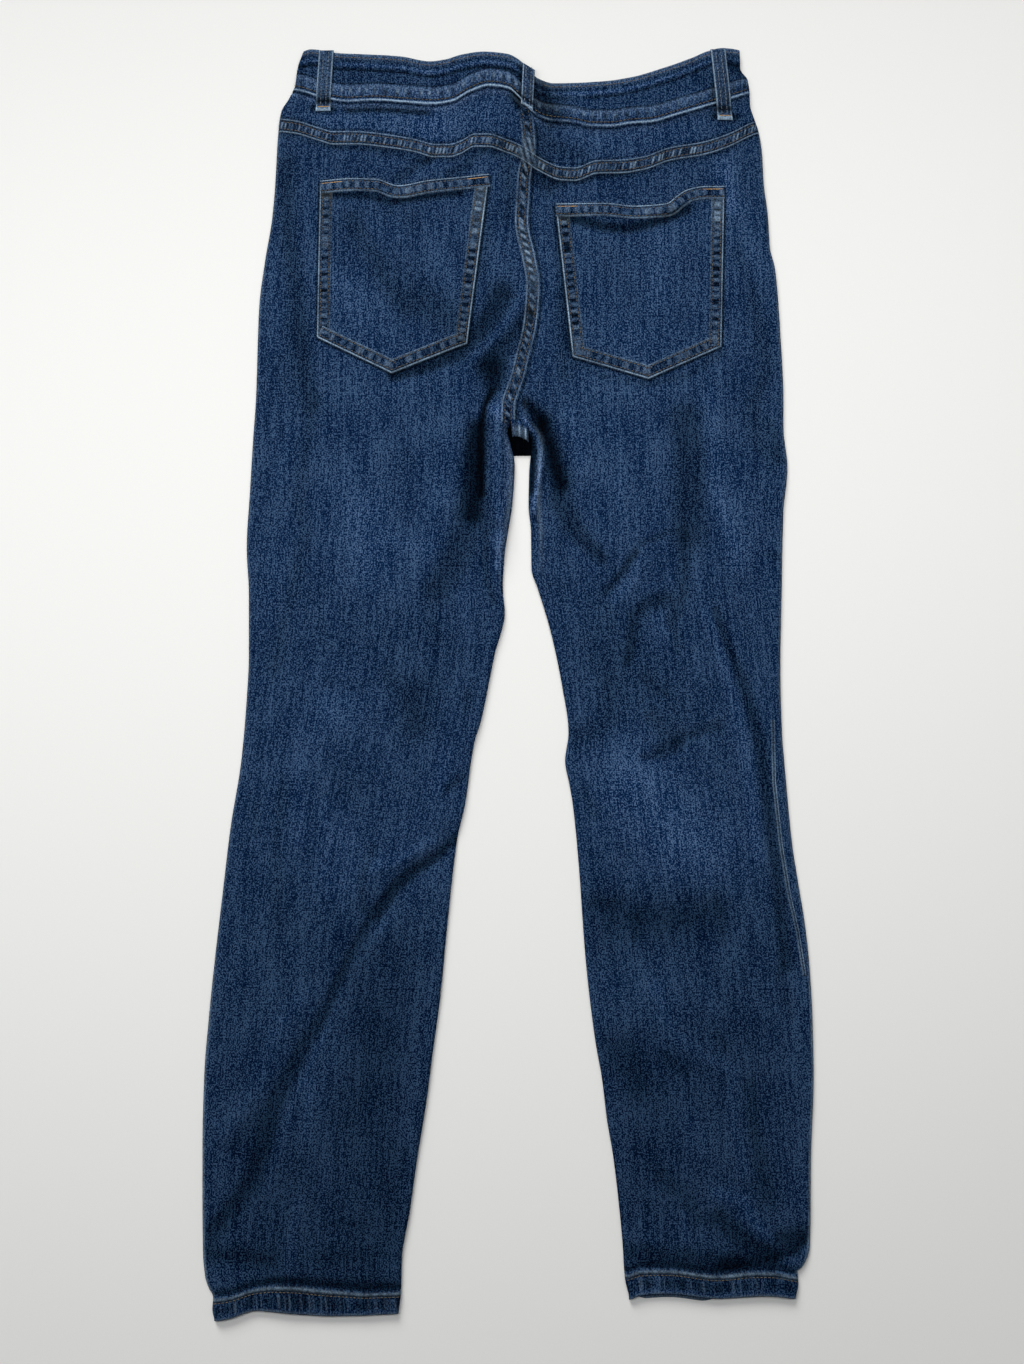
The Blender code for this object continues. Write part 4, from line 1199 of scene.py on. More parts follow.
@dataclass
class CenterSeam:
    """The felled seam down the centre back, whose twists wear like a rope.

    Attributes:
        denim: Its finish.
        fell: The folded strip that it makes.
    """

    denim: Material
    fell: Strip = Strip(FELL_WIDTH, thick=1.2, twist=0.5, pitch=7.4, slant=-9.0, inset=3.3,
                        near_edge=0.42, far_edge=0.26, light=0.95, contrast=1.0, wear=0.34,
                        shade=3.0)

    def path(self) -> Array:
        """The seam's right edge, from the crotch to the waistband."""
        y = np.linspace(CROTCH - 5, 489, 90)
        return stack(RISE(y) + 0.4, y)

    def make(self) -> list[Piece]:
        """Makes the fell and the gathered end of the inseam below it."""
        grid = self.fell.grid(self.path(), Lay.panel, 3, lambda y: 0.16 * bump(y, 356.0, 34.0))
        grid.edge *= 1 - 0.55 * ease(grid.points[..., 1], 458.0, 470.0)
        return [grid.make("center_fell", FOLD_CLOTH, self.denim), self.inseam_end()]

    def inseam_end(self) -> Piece:
        """Makes the puckered end of the inseam, which turns down at the crotch."""
        u = np.linspace(-1, 1, 41)
        v = np.linspace(0, 1, 25)[::-1, None]
        x = 9.8 + u * (8.2 - 1.2 * v) + 0.8 * v
        y = 222.5 - v * 13.5 - 2.2 * u - 1.6 * u**2
        dome = np.sqrt(np.clip(1 - (v * 0.98) ** 3, 0, 1)) * np.sqrt(np.clip(1 - u**6, 0, 1))
        pleats = np.cos(u * 8.6 + 0.5)
        z = 2.2 + dome * (9.6 + 1.1 * pleats * np.sin(v * 2.6))
        edge = 0.8 * bump(u, 0.62, 0.1) + 0.6 * bump(u, -0.1, 0.1)
        edge = (edge + 0.15) * ease(v, 0.2, 0.6)
        # The pleats' crests are lighter, partly wear, and their folds darker as painted shade.
        grid = Grid(stack(x, y, z), stack(x, y), 1.1 + 0.5 * pleats, edge * 0.6, edge)
        return grid.make("inseam_end", FOLD_CLOTH, self.denim)


@dataclass
class PatchPocket:
    """A patch pocket, its turned-in edges and its hemmed mouth.

    Attributes:
        side: Which side.
        denim: Its finish.
        low_left: Lower left corner.
        tip: The point at the bottom.
        low_right: Lower right corner.
        top_left: Left end of the mouth.
        top_right: Right end of the mouth.
        gape: How far the mouth stands open.
        worn_ends: How far down each side the edging is worn most.
        seat: How far its inner face stands off the panel.
        cloth: Thickness of its cloth and its turned-in edge.
        mouth_depth: Depth of the mouth's hem.
        edging: Width of the stitched fold along its sides and its point.
    """

    side: Side
    denim: Material
    low_left: tuple[float, float]
    tip: tuple[float, float]
    low_right: tuple[float, float]
    top_left: tuple[float, float]
    top_right: tuple[float, float]
    gape: float
    worn_ends: tuple[float, float]
    seat: float = 0.45
    cloth: float = 1.1
    mouth_depth: float = 11.0
    edging: float = 11.0

    @property
    def corners(self) -> list[tuple[float, float]]:
        """Its corners, from the mouth's left end round the point to its right end."""
        return [self.top_left, self.low_left, self.tip, self.low_right, self.top_right]

    def place(self, u: Array, v: Array) -> tuple[Array, Array]:
        """Where a point of the pocket lies.

        Args:
            u: Its share across, from the left.
            v: Its share up.

        Returns:
            x and y.
        """
        low_x = mix(self.low_left[0], self.low_right[0], u)
        low_y = np.where(u <= 0.5, mix(self.low_left[1], self.tip[1], u * 2),
                         mix(self.tip[1], self.low_right[1], u * 2 - 1))
        top_x = mix(self.top_left[0], self.top_right[0], u)
        return mix(low_x, top_x, v), mix(low_y, POCKET_MOUTH[self.side](top_x), v)

    def mouth_path(self, u: Array, down: float) -> Array:
        """Points along the mouth at shares across, at a distance below its edge."""
        x, y = self.place(u, np.ones_like(u))
        return stack(x, y - down)

    def share(self, x: Array, y: Array) -> tuple[Array, Array]:
        """Shares across and up of a point, near enough to read the gape.

        Args:
            x: Places across.
            y: Places along.

        Returns:
            The share across and the share up.
        """
        low = min(self.low_left[1], self.low_right[1])
        v = np.clip((y - low) / (self.top_left[1] - low), 0, 1)
        left = mix(self.low_left[0], self.top_left[0], v)
        right = mix(self.low_right[0], self.top_right[0], v)
        return np.clip((x - left) / (right - left), 0, 1), v

    def lie(self, x: Array, y: Array) -> Array:
        """Height of the pocket's outer face.

        Args:
            x: Places across.
            y: Places along.

        Returns:
            The height at each place.
        """
        u, v = self.share(x, y)
        gape = self.gape * np.sin(math.pi * u) * ease(v, 0.45, 1.0)
        return Lay.panel(x, y) + self.seat + self.cloth + gape

    def shell(self) -> Piece:
        """Makes the pocket's cloth, with painted shadow under the mouth's hem."""
        u, v = np.meshgrid(np.linspace(0, 1, 96), np.linspace(0, 1, 110))
        x, y = self.place(u, v)
        inside = np.minimum(np.minimum(u, 1 - u) * 140, v * 150)
        points = stack(x, y, self.lie(x, y) - 1.3 * (1 - ease(inside, -0.6, 1.4)))
        # Painted shadow under the mouth's hem, fainter where the mouth gapes more.
        below = bump(POCKET_MOUTH[self.side](x) - y, self.mouth_depth + 0.6, 1.1)
        grid = Grid(points, stack(x, y), Lay.tone(points) * (1 - 0.9 / (1 + self.gape) * below))
        return grid.make(f"pocket_{self.side.value}_shell", POCKET_CLOTH, self.denim)

    @staticmethod
    def rubbed(top: float, reach: float) -> Level:
        """Wear of a side near the mouth, where hands rub."""
        return lambda y: 0.2 * ease(y, top - 1.5 * reach, top - 0.5 * reach)

    def edges(self) -> Piece:
        """Makes the stitched fold along the sides and the point.

        Returns:
            The fold's four runs, as one piece.
        """
        beside = Strip(self.edging, thick=0.45, twist=0.35, pitch=6.6, near_edge=0.74,
                       far_edge=0.10, light=0.84, contrast=0.95, wear=0.19, seat=1.4)
        below = replace(beside, far_edge=0.28, pitch=9.0, contrast=0.6)
        runs = []
        for index, (start, end) in enumerate(zip(self.corners, self.corners[1:])):
            at_side = index in (0, 3)
            outermost = at_side and (index == 0) == (self.side is Side.LEFT)
            fold = replace(beside if at_side else below, near_edge=0.6 if outermost else 0.9)
            glow = self.rubbed(max(start[1], end[1]), self.worn_ends[index // 2])
            grid = fold.grid(np.linspace(start, end, 40), self.lie,
                             10 * index + self.side.sign + 1, glow if at_side else None)
            runs.append(grid.make(f"run_{index}", EDGE_CLOTH, self.denim))
        return join(runs, f"pocket_{self.side.value}_edging")

    def mouth(self) -> Piece:
        """Makes the hem along the mouth."""
        strip = Strip(self.mouth_depth, thick=1.3, twist=0.3, pitch=8.5, near_edge=0.74,
                      far_edge=0.36, light=1.05, contrast=0.6, wear=0.2, shade=0.4)
        grid = strip.grid(self.mouth_path(np.linspace(1, 0, 60), -1.2), self.lie)
        return grid.make(f"pocket_{self.side.value}_mouth", POCKET_CLOTH, self.denim)

    def make(self) -> list[Piece]:
        """Makes the pocket's shell, then its edging and its mouth's hem."""
        return [self.shell(), self.edges(), self.mouth()]


@dataclass
class BeltLoop:
    """A belt loop with raised edges, from its foot on the yoke to the waistband's top.

    Attributes:
        name: left, center or right.
        denim: Its finish.
        foot: Middle of its lower end.
        top: Middle of its upper end.
        width: Its width.
        slant: How much lower its right edge lies than its middle.
        thick: Thickness of its folded cloth.
        bow: How far its middle arches off what it lies over.
    """

    name: str
    denim: Material
    foot: tuple[float, float]
    top: tuple[float, float]
    width: float = 12.4
    slant: float = 0.0
    thick: float = 1.3
    bow: float = 0.9

    def lie(self, x: Array, y: Array) -> Array:
        """Height of what the loop lies over: the yoke, then the waistband."""
        on_band = ease(y - WAIST_SEAM(x), -5.0, -1.0)
        return mix(Lay.panel(x, y), Lay.band(x, y) + 0.5, on_band)

    def height(self, x: Array, y: Array, v: Array) -> Array:
        """Height of the loop's outer face at shares v of its length."""
        bow = self.bow * np.sin(np.pi * np.clip(v, 0, 1))
        return self.lie(x, y) + 0.4 + self.thick + bow

    def face(self, x: Array, y: Array) -> Array:
        """Height of the loop's outer face, for what is sewn on it."""
        return self.height(x, y, (y - self.foot[1]) / (self.top[1] - self.foot[1]))

    def make(self) -> list[Piece]:
        """Makes the loop, in a list of one."""
        v = np.r_[-0.006, 0.0, np.linspace(0.012, 0.988, 50), 1.0, 1.006][:, None]
        u = np.array(LOOP_COLUMNS)
        x = mix(self.foot[0], self.top[0], v) + u * self.width / 2
        y = mix(self.foot[1], self.top[1], v) - self.slant * u
        edge_round = ease(1.06 - np.abs(u), 0, 0.16)
        ends = ease(np.minimum(v + 0.008, 1.008 - v), 0, 0.022)
        ridge = 0.35 * bump(np.abs(u), 0.84, 0.12)
        foot_bump = 0.5 * bump(v, 0.03, 0.03)
        dip = -0.8 * bump(v, 0.12, 0.05)
        z = self.height(x, y, v) + ridge + foot_bump + dip - 1.2 * (1 - edge_round * ends)
        edge = 0.66 * bump(np.abs(u), 0.93, 0.08) + 0.8 * bump(v, 0.01, 0.03) + 0.03
        # Above the foot lies painted shade in the hollow, where the pale thread is dimmed too.
        edge = edge * (1 - 0.8 * bump(v, 0.15, 0.05))
        dots = blotches(y + 0.5 * u, 2.6, 14) * bump(np.abs(u), 0.5, 0.25)
        tone = 0.9 + 0.25 * blotches(y + 2 * u, 8.0, 6) + 0.5 * dots
        grid = Grid(stack(x, y, z), stack(x, y), tone * (1 - 0.9 * bump(v, 0.15, 0.045)), 0.2,
                    edge)
        return [grid.make(f"loop_{self.name}_shell", LOOP_CLOTH, self.denim)]


@dataclass
class StitchRows:
    """Rows of lockstitch that lie along the seams, all in one thread.

    Attributes:
        name: The piece's name.
        thread: Its finish.
        pitch: Distance from one stitch to the next.
        length: Length of one stitch.
        thick: The thread's diameter.
        places: Both ends of every stitch, an array of count by 2 by 3 to each row.
    """

    name: str
    thread: Material
    pitch: float = STITCH_PITCH
    length: float = STITCH_LENGTH
    thick: float = THREAD
    places: list[Array] = field(default_factory=list)

    def along(self, path: Array, lie: Level, lift: float) -> None:
        """Adds a row of stitches.

        Args:
            path: Points of the row, count by 2.
            lie: Height of what it is sewn on.
            lift: Height of the thread's middle above that.
        """
        middles, ways, _ = resample(path, self.pitch)
        half = ways * self.length / 2
        ends = [np.column_stack([flat, lie(flat[:, 0], flat[:, 1]) + lift])
                for flat in (middles - half, middles + half)]
        self.places.append(np.stack(ends, axis=1))

    def spindle(self) -> Piece:
        """Makes the one stitch that the others are copies of, a metre long for scaling."""
        deselect_all()
        bpy.ops.mesh.primitive_uv_sphere_add(segments=6, ring_count=4, radius=0.5)
        model = bpy.context.active_object
        bpy.ops.object.mode_set(mode="EDIT")
        bpy.ops.mesh.select_all(action="SELECT")
        bpy.ops.transform.resize(value=(self.thick * MM, self.thick * MM, 1.0))
        bpy.ops.object.mode_set(mode="OBJECT")
        model.data.materials.append(self.thread)
        model.data.shade_smooth()
        return model

    def make(self) -> Piece:
        """Makes the stitches as one piece.

        Returns:
            The joined stitches.
        """
        model = self.spindle()
        stitches = []
        for start, end in np.concatenate(self.places) * MM:
            way = Vector(end - start)
            place = Matrix.Translation(Vector((start + end) / 2))
            turn = way.to_track_quat("Z", "Y").to_matrix().to_4x4()
            stitch = model.copy()
            stitch.data = model.data.copy()
            stitch.data.transform(place @ turn @ Matrix.Diagonal((1.0, 1.0, way.length, 1.0)))
            bpy.context.scene.collection.objects.link(stitch)
            stitches.append(stitch)
        bpy.data.objects.remove(model, do_unlink=True)
        LOG.info("%s: %d stitches", self.name, len(stitches))
        return join(stitches, self.name)


@dataclass
class Front:
    """The lower layer, which lies flat on the surface under the back.

    Attributes:
        half: The side's outline.
        denim: Its finish.
        center: x of the fly's edge.
        dip: How far the waist comes down at the fly.
        top: y of the waist at the sides.
        band_height: Height of the front waistband.
        seat: y of the lowest row that runs along the waistband.
        crotch: y where the two inseams meet.
        shade: Middle of the painted shade between the thighs.
    """

    half: Half
    denim: Material
    center: float = 13.0
    dip: float = 44.0
    top: float = 537.3
    band_height: float = 33.0
    seat: float = 435.0
    crotch: float = 194.0
    shade: tuple[float, float] = (13.0, 212.0)

    def waist(self, x: Array) -> Array:
        """Upper edge of the front waistband."""
        return self.top - self.dip * (1 - ease(np.abs(x - self.center), 46.0, 172.0))

    def hem(self, x: Array) -> Array:
        """Lower edge of the front, which comes out a little below the right back hem."""
        out = 5.0 if self.half.side is Side.RIGHT else 0.0
        return HEM[self.half.side](x) - out * plateau(x, 104, 118, 165, 184)

    def leg_level(self, level: float) -> Level:
        """y of a leg's row at a nominal level, which slants with the hem near it."""
        low = HEM_LEVEL[self.half.side]
        follow = 1 - float(ease(level, low + HEM_DEPTH, low + HEM_DEPTH + HEM_FOLLOW))
        return lambda x: level + follow * (self.hem(x) - low)

    def seat_level(self, share: float) -> Level:
        """y of a row at a share of the way from the seat to the waistband's seam."""
        return lambda x: mix(self.seat, self.waist(x) - self.band_height - SEAM_GAP, share)

    def band_level(self, share: float) -> Level:
        """y of a row at a share of the waistband's height."""
        return lambda x: self.waist(x) - self.band_height * (1 - share)

    def row(self, level_of: Level, end: float | None = None) -> Array:
        """Points of one row on the underside, from right to left, with turned-up sides.

        Args:
            level_of: y of the row at each x.
            end: x of the inner end, or None for the inseam or the centre.

        Returns:
            Points, columns by 3.
        """
        sign = self.half.side.sign
        outer, inner = sign * 200.0, sign * 100.0
        for _ in range(ROUNDS):
            outer = float(OUTSEAM[self.half.side](level_of(np.array(outer)))) - sign * 0.4
            y = float(level_of(np.array(inner)))
            leg = float(INSEAM[self.half.side](y)) + sign * 0.4
            inner = leg if y < self.crotch else self.center + sign * 0.02
            inner = inner if end is None else end
        turn = np.radians([0, 30, 60, 90])
        rolled = 1.2 * (1 - np.cos(turn))
        first = outer - sign * rolled
        between = np.linspace(first[-1], inner, 42)[1:]
        x = np.r_[first, between]
        z = np.r_[1.15 * (1 - np.sin(turn)), np.zeros(len(between))]
        points = stack(x, level_of(x), z)
        return points[::-1] if self.half.side is Side.LEFT else points

    def panel(self) -> Piece:
        """Makes the front leg panel."""
        low = HEM_LEVEL[self.half.side]
        levels = np.r_[low + 1.5, low + 5, np.linspace(low + 12, self.crotch - 0.04, 120),
                       np.linspace(self.crotch + 0.01, self.seat - 10, 50)]
        rows = [self.row(self.leg_level(level)) for level in levels]
        rows += [self.row(self.seat_level(share)) for share in np.linspace(0, 1, 14)]
        points = np.array(rows)
        x, y = points[..., 0], points[..., 1]
        # The front is painted darker, and near black round shade between the thighs as painted
        # shade.
        away = np.hypot(x - self.shade[0], y - self.shade[1])
        tone = 0.62 - 0.6 * (1 - ease(away, 22.0, 48.0))
        edge = 0.7 * bump(y - self.hem(x), 0.6, 1.0)
        grid = Grid(points, self.half.cloth_of(points), tone, edge=edge)
        return grid.make(f"front_{self.half.side.value}_shell", DENIM, self.denim)

    def band(self, finish: Material) -> Piece:
        """Makes the front stretch of the waistband, raised over the button.

        Args:
            finish: The waistband's finish.

        Returns:
            The new piece.
        """
        end = self.center + 14.0 + self.half.side.sign * 0.15
        points = np.array([self.row(self.band_level(share), end)
                           for share in np.linspace(0, 1, 18)])
        middle_y = float(self.waist(np.array(self.center))) - self.band_height / 2
        away = np.hypot(points[..., 0] - self.center, points[..., 1] - middle_y)
        points[..., 2] += 2.1 * (1 - ease(away, 9.5, 24.0))
        grid = Grid(points, points[..., :2].copy(), 0.8)
        return grid.make(f"waistband_front_{self.half.side.value}_shell", BAND_CLOTH, finish)


def to_linear(code: str) -> tuple[float, float, float, float]:
    """Turns an sRGB hex colour into the linear one that a shader takes.

    Args:
        code: Six hex digits.

    Returns:
        Linear red, green and blue, and an alpha of 1.
    """
    parts = [int(code[i:i + 2], 16) / 255 for i in (0, 2, 4)]
    linear = [c / 12.92 if c <= 0.04045 else ((c + 0.055) / 1.055) ** 2.4 for c in parts]
    return linear[0], linear[1], linear[2], 1.0


def fill(node: Node, inputs: dict) -> None:
    """Fills a node's sockets.

    Args:
        node: The node.
        inputs: Socket name or number to a value or to another node's output.
    """
    for socket, value in inputs.items():
        if isinstance(value, Socket):
            node.id_data.links.new(value, node.inputs[socket])
        else:
            node.inputs[socket].default_value = value


def add_node(tree: Tree, kind: str, inputs: dict | None = None, **settings: object) -> Node:
    """Adds a node with its settings, and fills or links its sockets.

    Args:
        tree: The material's node tree.
        kind: Blender's name for the node, after its ShaderNode.
        inputs: Socket name or number to a value or to another node's output.
        **settings: The node's own properties.

    Returns:
        The new node.
    """
    made = tree.nodes.new(f"ShaderNode{kind}")
    for name, value in settings.items():
        setattr(made, name, value)
    fill(made, inputs or {})
    return made


def reckon(tree: Tree, operation: str, *values: Socket | float) -> Socket:
    """The result of one operation on values, which take its sockets in order."""
    inputs = dict(enumerate(values))
    return add_node(tree, "Math", inputs, operation=operation).outputs["Value"]


def set_ramp(ramp: bpy.types.ColorRamp, stops: Sequence[tuple[float, str]]) -> None:
    """Sets a colour ramp's stops.

    Args:
        ramp: The ramp.
        stops: (place, hex colour) pairs in rising order of place.
    """
    while len(ramp.elements) < len(stops):
        ramp.elements.new(1.0)
    for element, (place, code) in zip(ramp.elements, stops):
        element.position = place
        element.color = to_linear(code)


def new_material(name: str) -> tuple[Material, Tree, Node]:
    """Makes a material.

    Args:
        name: Its name.

    Returns:
        The material, its node tree and its Principled shader.
    """
    material = bpy.data.materials.new(name)
    material.use_nodes = True
    tree = material.node_tree
    return material, tree, tree.nodes["Principled BSDF"]


@dataclass(frozen=True)
class Weave:
    """One scale of unevenness in the yarns.

    Attributes:
        across: Size across the warp.
        along: Size along the warp.
        weight: Its share in the cloth's lightness.
        detail: Octaves of finer noise on it.
    """

    across: float
    along: float
    weight: float
    detail: float = 0.0

    def noise(self, tree: Tree, cloth: Socket, shift: tuple[float, float],
              **values: float) -> Socket:
        """Adds this unevenness to a node tree.

        Args:
            tree: The material's node tree.
            cloth: The cloth's coordinates.
            shift: Where in the noise it starts.
            **values: More sockets of the noise and their values.

        Returns:
            Its noise, about 0.5 in the mean.
        """
        place = add_node(tree, "Mapping", {
            "Vector": cloth, "Location": (*shift, 0.0),
            "Scale": (1 / (self.across * MM), 1 / (self.along * MM), 1.0)})
        made = add_node(tree, "TexNoise", {
            "Vector": place.outputs["Vector"], "Scale": 1.0, "Detail": self.detail, **values},
            noise_dimensions="2D")
        return made.outputs["Fac"]


@dataclass(frozen=True)
class WornDenim:
    """Stretch denim, ring-dyed indigo warp over a paler weft, washed until it is mottled.

    The dye sits on the outside of each warp yarn, so wear shows the white core as pale flecks in
    short upright streaks. The cloth is matt, with a slight bloom of loose fibre.

    Attributes:
        name: The material's name.
        deep: Colour of unworn yarn in the hollows.
        body: The cloth's mean colour.
        worn: Colour where the yarn is rubbed.
        pale: Colour of an edge that is worn through, and of painted highlight on a rolled edge.
        yarns: Scales of unevenness.
        bars: Bars of wear across a stitched fold, about one to each pucker.
    """

    name: str
    deep: str = "00102c"
    body: str = "0e2747"
    worn: str = "3a5270"
    pale: str = "aecbe4"
    yarns: tuple[Weave, ...] = (
        Weave(1.2, 1.4, 2.15, 1.0),
        Weave(1.4, 8.0, 0.46, 1.0),
        Weave(3.4, 4.4, 0.34),
        Weave(1.5, 40.0, 0.36),
        Weave(5.0, 60.0, 0.20),
        Weave(26.0, 36.0, 0.22),
    )
    bars: Weave = Weave(2.2, 11.0, 1.0)

    def lightness(self, tree: Tree, tone: Socket) -> tuple[Socket, list[Socket]]:
        """Mottles the cloth.

        Args:
            tree: The material's node tree.
            tone: The painted lightness: the dye's, with painted light and shade.

        Returns:
            The yarns' lightness, and the two finest noises.
        """
        cloth = add_node(tree, "UVMap", uv_map=CLOTH_UV).outputs["UV"]
        ticks = add_node(tree, "Attribute", attribute_name="ticks").outputs["Fac"]
        total: Socket | float = 0.0
        fine: list[Socket] = []
        for index, yarn in enumerate(self.yarns):
            noise = yarn.noise(tree, cloth, (index * 3.7, index * 5.3), Roughness=0.6)
            away = reckon(tree, "SUBTRACT", noise, 0.5)
            total = reckon(tree, "MULTIPLY_ADD", away, yarn.weight, total)
            fine.append(noise)
        calm = add_node(tree, "MapRange", {"Value": ticks, "To Min": 1.0, "To Max": 0.4})
        # Low tone, from dark dye and from painted shade, shows the yarns' pale flecks more than
        # high tone does
        harsh = add_node(tree, "MapRange", {"Value": tone, "To Min": 4.2, "To Max": 1.18})
        strength = reckon(tree, "MULTIPLY", calm.outputs["Result"], harsh.outputs["Result"])
        total = reckon(tree, "MULTIPLY_ADD", total, strength, 0.5)
        bars = reckon(tree, "SUBTRACT", self.bars.noise(tree, cloth, (0.0, 0.0)), 0.5)
        return reckon(tree, "MULTIPLY_ADD", bars, ticks, total), fine[:2]

    def make(self) -> Material:
        """Makes the material.

        Returns:
            The material, which reads tone, ticks and edge from the mesh.
        """
        material, tree, shader = new_material(self.name)
        tone = add_node(tree, "Attribute", attribute_name="tone").outputs["Fac"]
        edge = add_node(tree, "Attribute", attribute_name="edge").outputs["Fac"]
        total, fine = self.lightness(tree, tone)
        ramp = add_node(tree, "ValToRGB", {"Fac": total})
        set_ramp(ramp.color_ramp, [(0.12, self.deep), (0.5, self.body), (0.88, self.worn)])
        # Unworn indigo takes more from the red than from the blue, so dark dye, and painted shade
        # in the tone, turn bluer
        tones = add_node(tree, "CombineColor", {
            "Red": reckon(tree, "POWER", tone, 1.35), "Green": reckon(tree, "POWER", tone, 1.08),
            "Blue": tone})
        dyed_and_shaded = add_node(tree, "Mix", {
            "Factor": 1.0, 6: ramp.outputs["Color"], 7: tones.outputs["Color"]},
            data_type="RGBA", blend_type="MULTIPLY")
        broken = add_node(tree, "MapRange", {
            "Value": fine[0], "From Min": 0.3, "From Max": 0.6, "To Min": 0.45, "To Max": 1.0})
        show = reckon(tree, "MULTIPLY", edge, broken.outputs["Result"])
        color = add_node(tree, "Mix", {
            "Factor": reckon(tree, "MINIMUM", show, 1.0), 6: dyed_and_shaded.outputs[2],
            7: to_linear(self.pale)}, data_type="RGBA")
        relief = add_node(tree, "Bump", {
            "Height": reckon(tree, "ADD", *fine), "Strength": 0.55, "Distance": 0.35 * MM})
        fill(shader, {"Base Color": color.outputs[2], "Normal": relief.outputs["Normal"],
                      "Roughness": 0.9, "IOR": 1.45, "Specular IOR Level": 0.03})
        return material


@dataclass(frozen=True)
class Thread:
    """Polyester topstitching thread, two plies twisted, slightly glossy.

    Attributes:
        name: The material's name.
        dark: Colour in the twist's hollows, a painted shade.
        light: Colour on its ridges, a painted highlight.
        spot: Size of a hollow or ridge.
        detail: Octaves of finer noise on them.
        roughness: How matt it is.
    """

    name: str
    dark: str
    light: str
    spot: float = 0.8
    detail: float = 1.0
    roughness: float = 0.6

    def speckled(self) -> tuple[Material, Tree, Node, Socket]:
        """Makes a material that is dark and light in spots.

        Returns:
            The material, its node tree, its Principled shader and the spots' noise.
        """
        material, tree, shader = new_material(self.name)
        place = add_node(tree, "TexCoord").outputs["Object"]
        spots = add_node(tree, "TexNoise", {
            "Vector": place, "Scale": 1 / (self.spot * MM), "Detail": self.detail})
        ramp = add_node(tree, "ValToRGB", {"Fac": spots.outputs["Fac"]})
        # For thread, dark spots are painted shade in the twist and light ones painted highlight;
        # for metal, tarnish and polish.
        set_ramp(ramp.color_ramp, [(0.35, self.dark), (0.65, self.light)])
        fill(shader, {"Base Color": ramp.outputs["Color"], "Roughness": self.roughness})
        return material, tree, shader, spots.outputs["Fac"]

    def make(self) -> Material:
        """Makes the thread's material."""
        return self.speckled()[0]


@dataclass(frozen=True)
class AgedMetal(Thread):
    """Brushed and tumbled brass-coloured zinc, as on jeans buttons and zips.

    Its colours are that of the tarnish and that of the polished spots.
    """

    spot: float = 3.0
    detail: float = 3.0

    def make(self) -> Material:
        """Makes the metal, which is smoother where it is polished."""
        material, tree, shader, spots = self.speckled()
        rough = add_node(tree, "MapRange", {"Value": spots, "To Min": 0.5, "To Max": 0.25})
        fill(shader, {"Roughness": rough.outputs["Result"], "Metallic": 1.0})
        return material


@dataclass(frozen=True)
class PaperFloor:
    """A pale matt sheet to lay the garment on.

    Attributes:
        name: The material's name.
        color: Its colour.
    """

    name: str = "matt off-white card"
    color: str = "ebebe9"

    def make(self) -> Material:
        """Makes the material, with a very faint tooth of 2 mm.

        Returns:
            The material.
        """
        material, tree, shader = new_material(self.name)
        place = add_node(tree, "TexCoord").outputs["Object"]
        tooth = add_node(tree, "TexNoise", {
            "Vector": place, "Scale": 1 / (2 * MM), "Detail": 2.0})
        relief = add_node(tree, "Bump", {
            "Height": tooth.outputs["Fac"], "Strength": 0.08, "Distance": 0.1 * MM})
        fill(shader, {"Base Color": to_linear(self.color), "Normal": relief.outputs["Normal"],
                      "Roughness": 0.85, "Specular IOR Level": 0.2})
        return material


@dataclass
class Studio:
    """The surface, the window-like light and the camera straight above.

    Attributes:
        frame_height: Length that the picture's height spans on the garment, in metres.
        above: Height of the camera, in metres.
        view_x: The picture's middle, in metres.
        view_y: The same along the garment.
        subject: Height of the garment's face, on which the camera is measured, in metres.
    """

    frame_height: float = 1.1594
    above: float = 1.45
    view_x: float = 0.0034
    view_y: float = 0.0013
    subject: float = 0.004

    def add(self, name: str, data: bpy.types.ID) -> Piece:
        """Adds a lamp or the camera.

        Args:
            name: Its name.
            data: What it is made of.

        Returns:
            The new object, at the origin.
        """
        made = bpy.data.objects.new(name, data)
        bpy.context.scene.collection.objects.link(made)
        return made

    def floor(self) -> None:
        """Makes the surface."""
        deselect_all()
        bpy.ops.mesh.primitive_plane_add(size=7.0, location=(0.0, 0.0, -0.0003))
        floor = bpy.context.active_object
        floor.name = "floor"
        floor.data.materials.append(PaperFloor().make())

    def window(self) -> None:
        """Adds the main light, which comes from beyond the waist."""
        sun = bpy.data.lights.new("window", "SUN")
        sun.energy = 2.35
        sun.angle = math.radians(26)
        sun.color = (1.0, 0.99, 0.97)
        way = Vector((0.30, -1.0, -0.54))
        self.add("window", sun).rotation_euler = way.to_track_quat("-Z", "Y").to_euler()

    def softbox(self) -> None:
        """Adds a long soft light over the seat, turned a little so that the low right is dim."""
        data = bpy.data.lights.new("softbox", "AREA")
        data.shape = "RECTANGLE"
        data.size, data.size_y = 2.2, 0.36
        data.energy = 8.5
        data.color = (1.0, 0.997, 0.992)
        data.spread = math.radians(108)
        lamp = self.add("softbox", data)
        lamp.location = (-0.22, 0.27, 1.52)
        lamp.rotation_euler = (0.0, 0.0, math.radians(6))

    def fill(self) -> None:
        """Adds the pale light of the room."""
        world = bpy.data.worlds.new("pale room")
        bpy.context.scene.world = world
        world.use_nodes = True
        fill(world.node_tree.nodes["Background"], {
            "Color": (0.90, 0.95, 1.0, 1.0), "Strength": 0.13})
        bpy.context.scene.view_settings.view_transform = "Standard"

    def camera(self) -> None:
        """Places the camera straight above, level with the picture's middle."""
        data = bpy.data.cameras.new("camera")
        data.sensor_width = 36.0
        data.lens = data.sensor_width * (self.above - self.subject) / self.frame_height
        camera = self.add("camera", data)
        camera.location = (self.view_x, self.view_y, self.above)
        bpy.context.scene.camera = camera

    def make(self) -> None:
        """Makes the whole set."""
        self.floor()
        self.window()
        self.softbox()
        self.fill()
        self.camera()


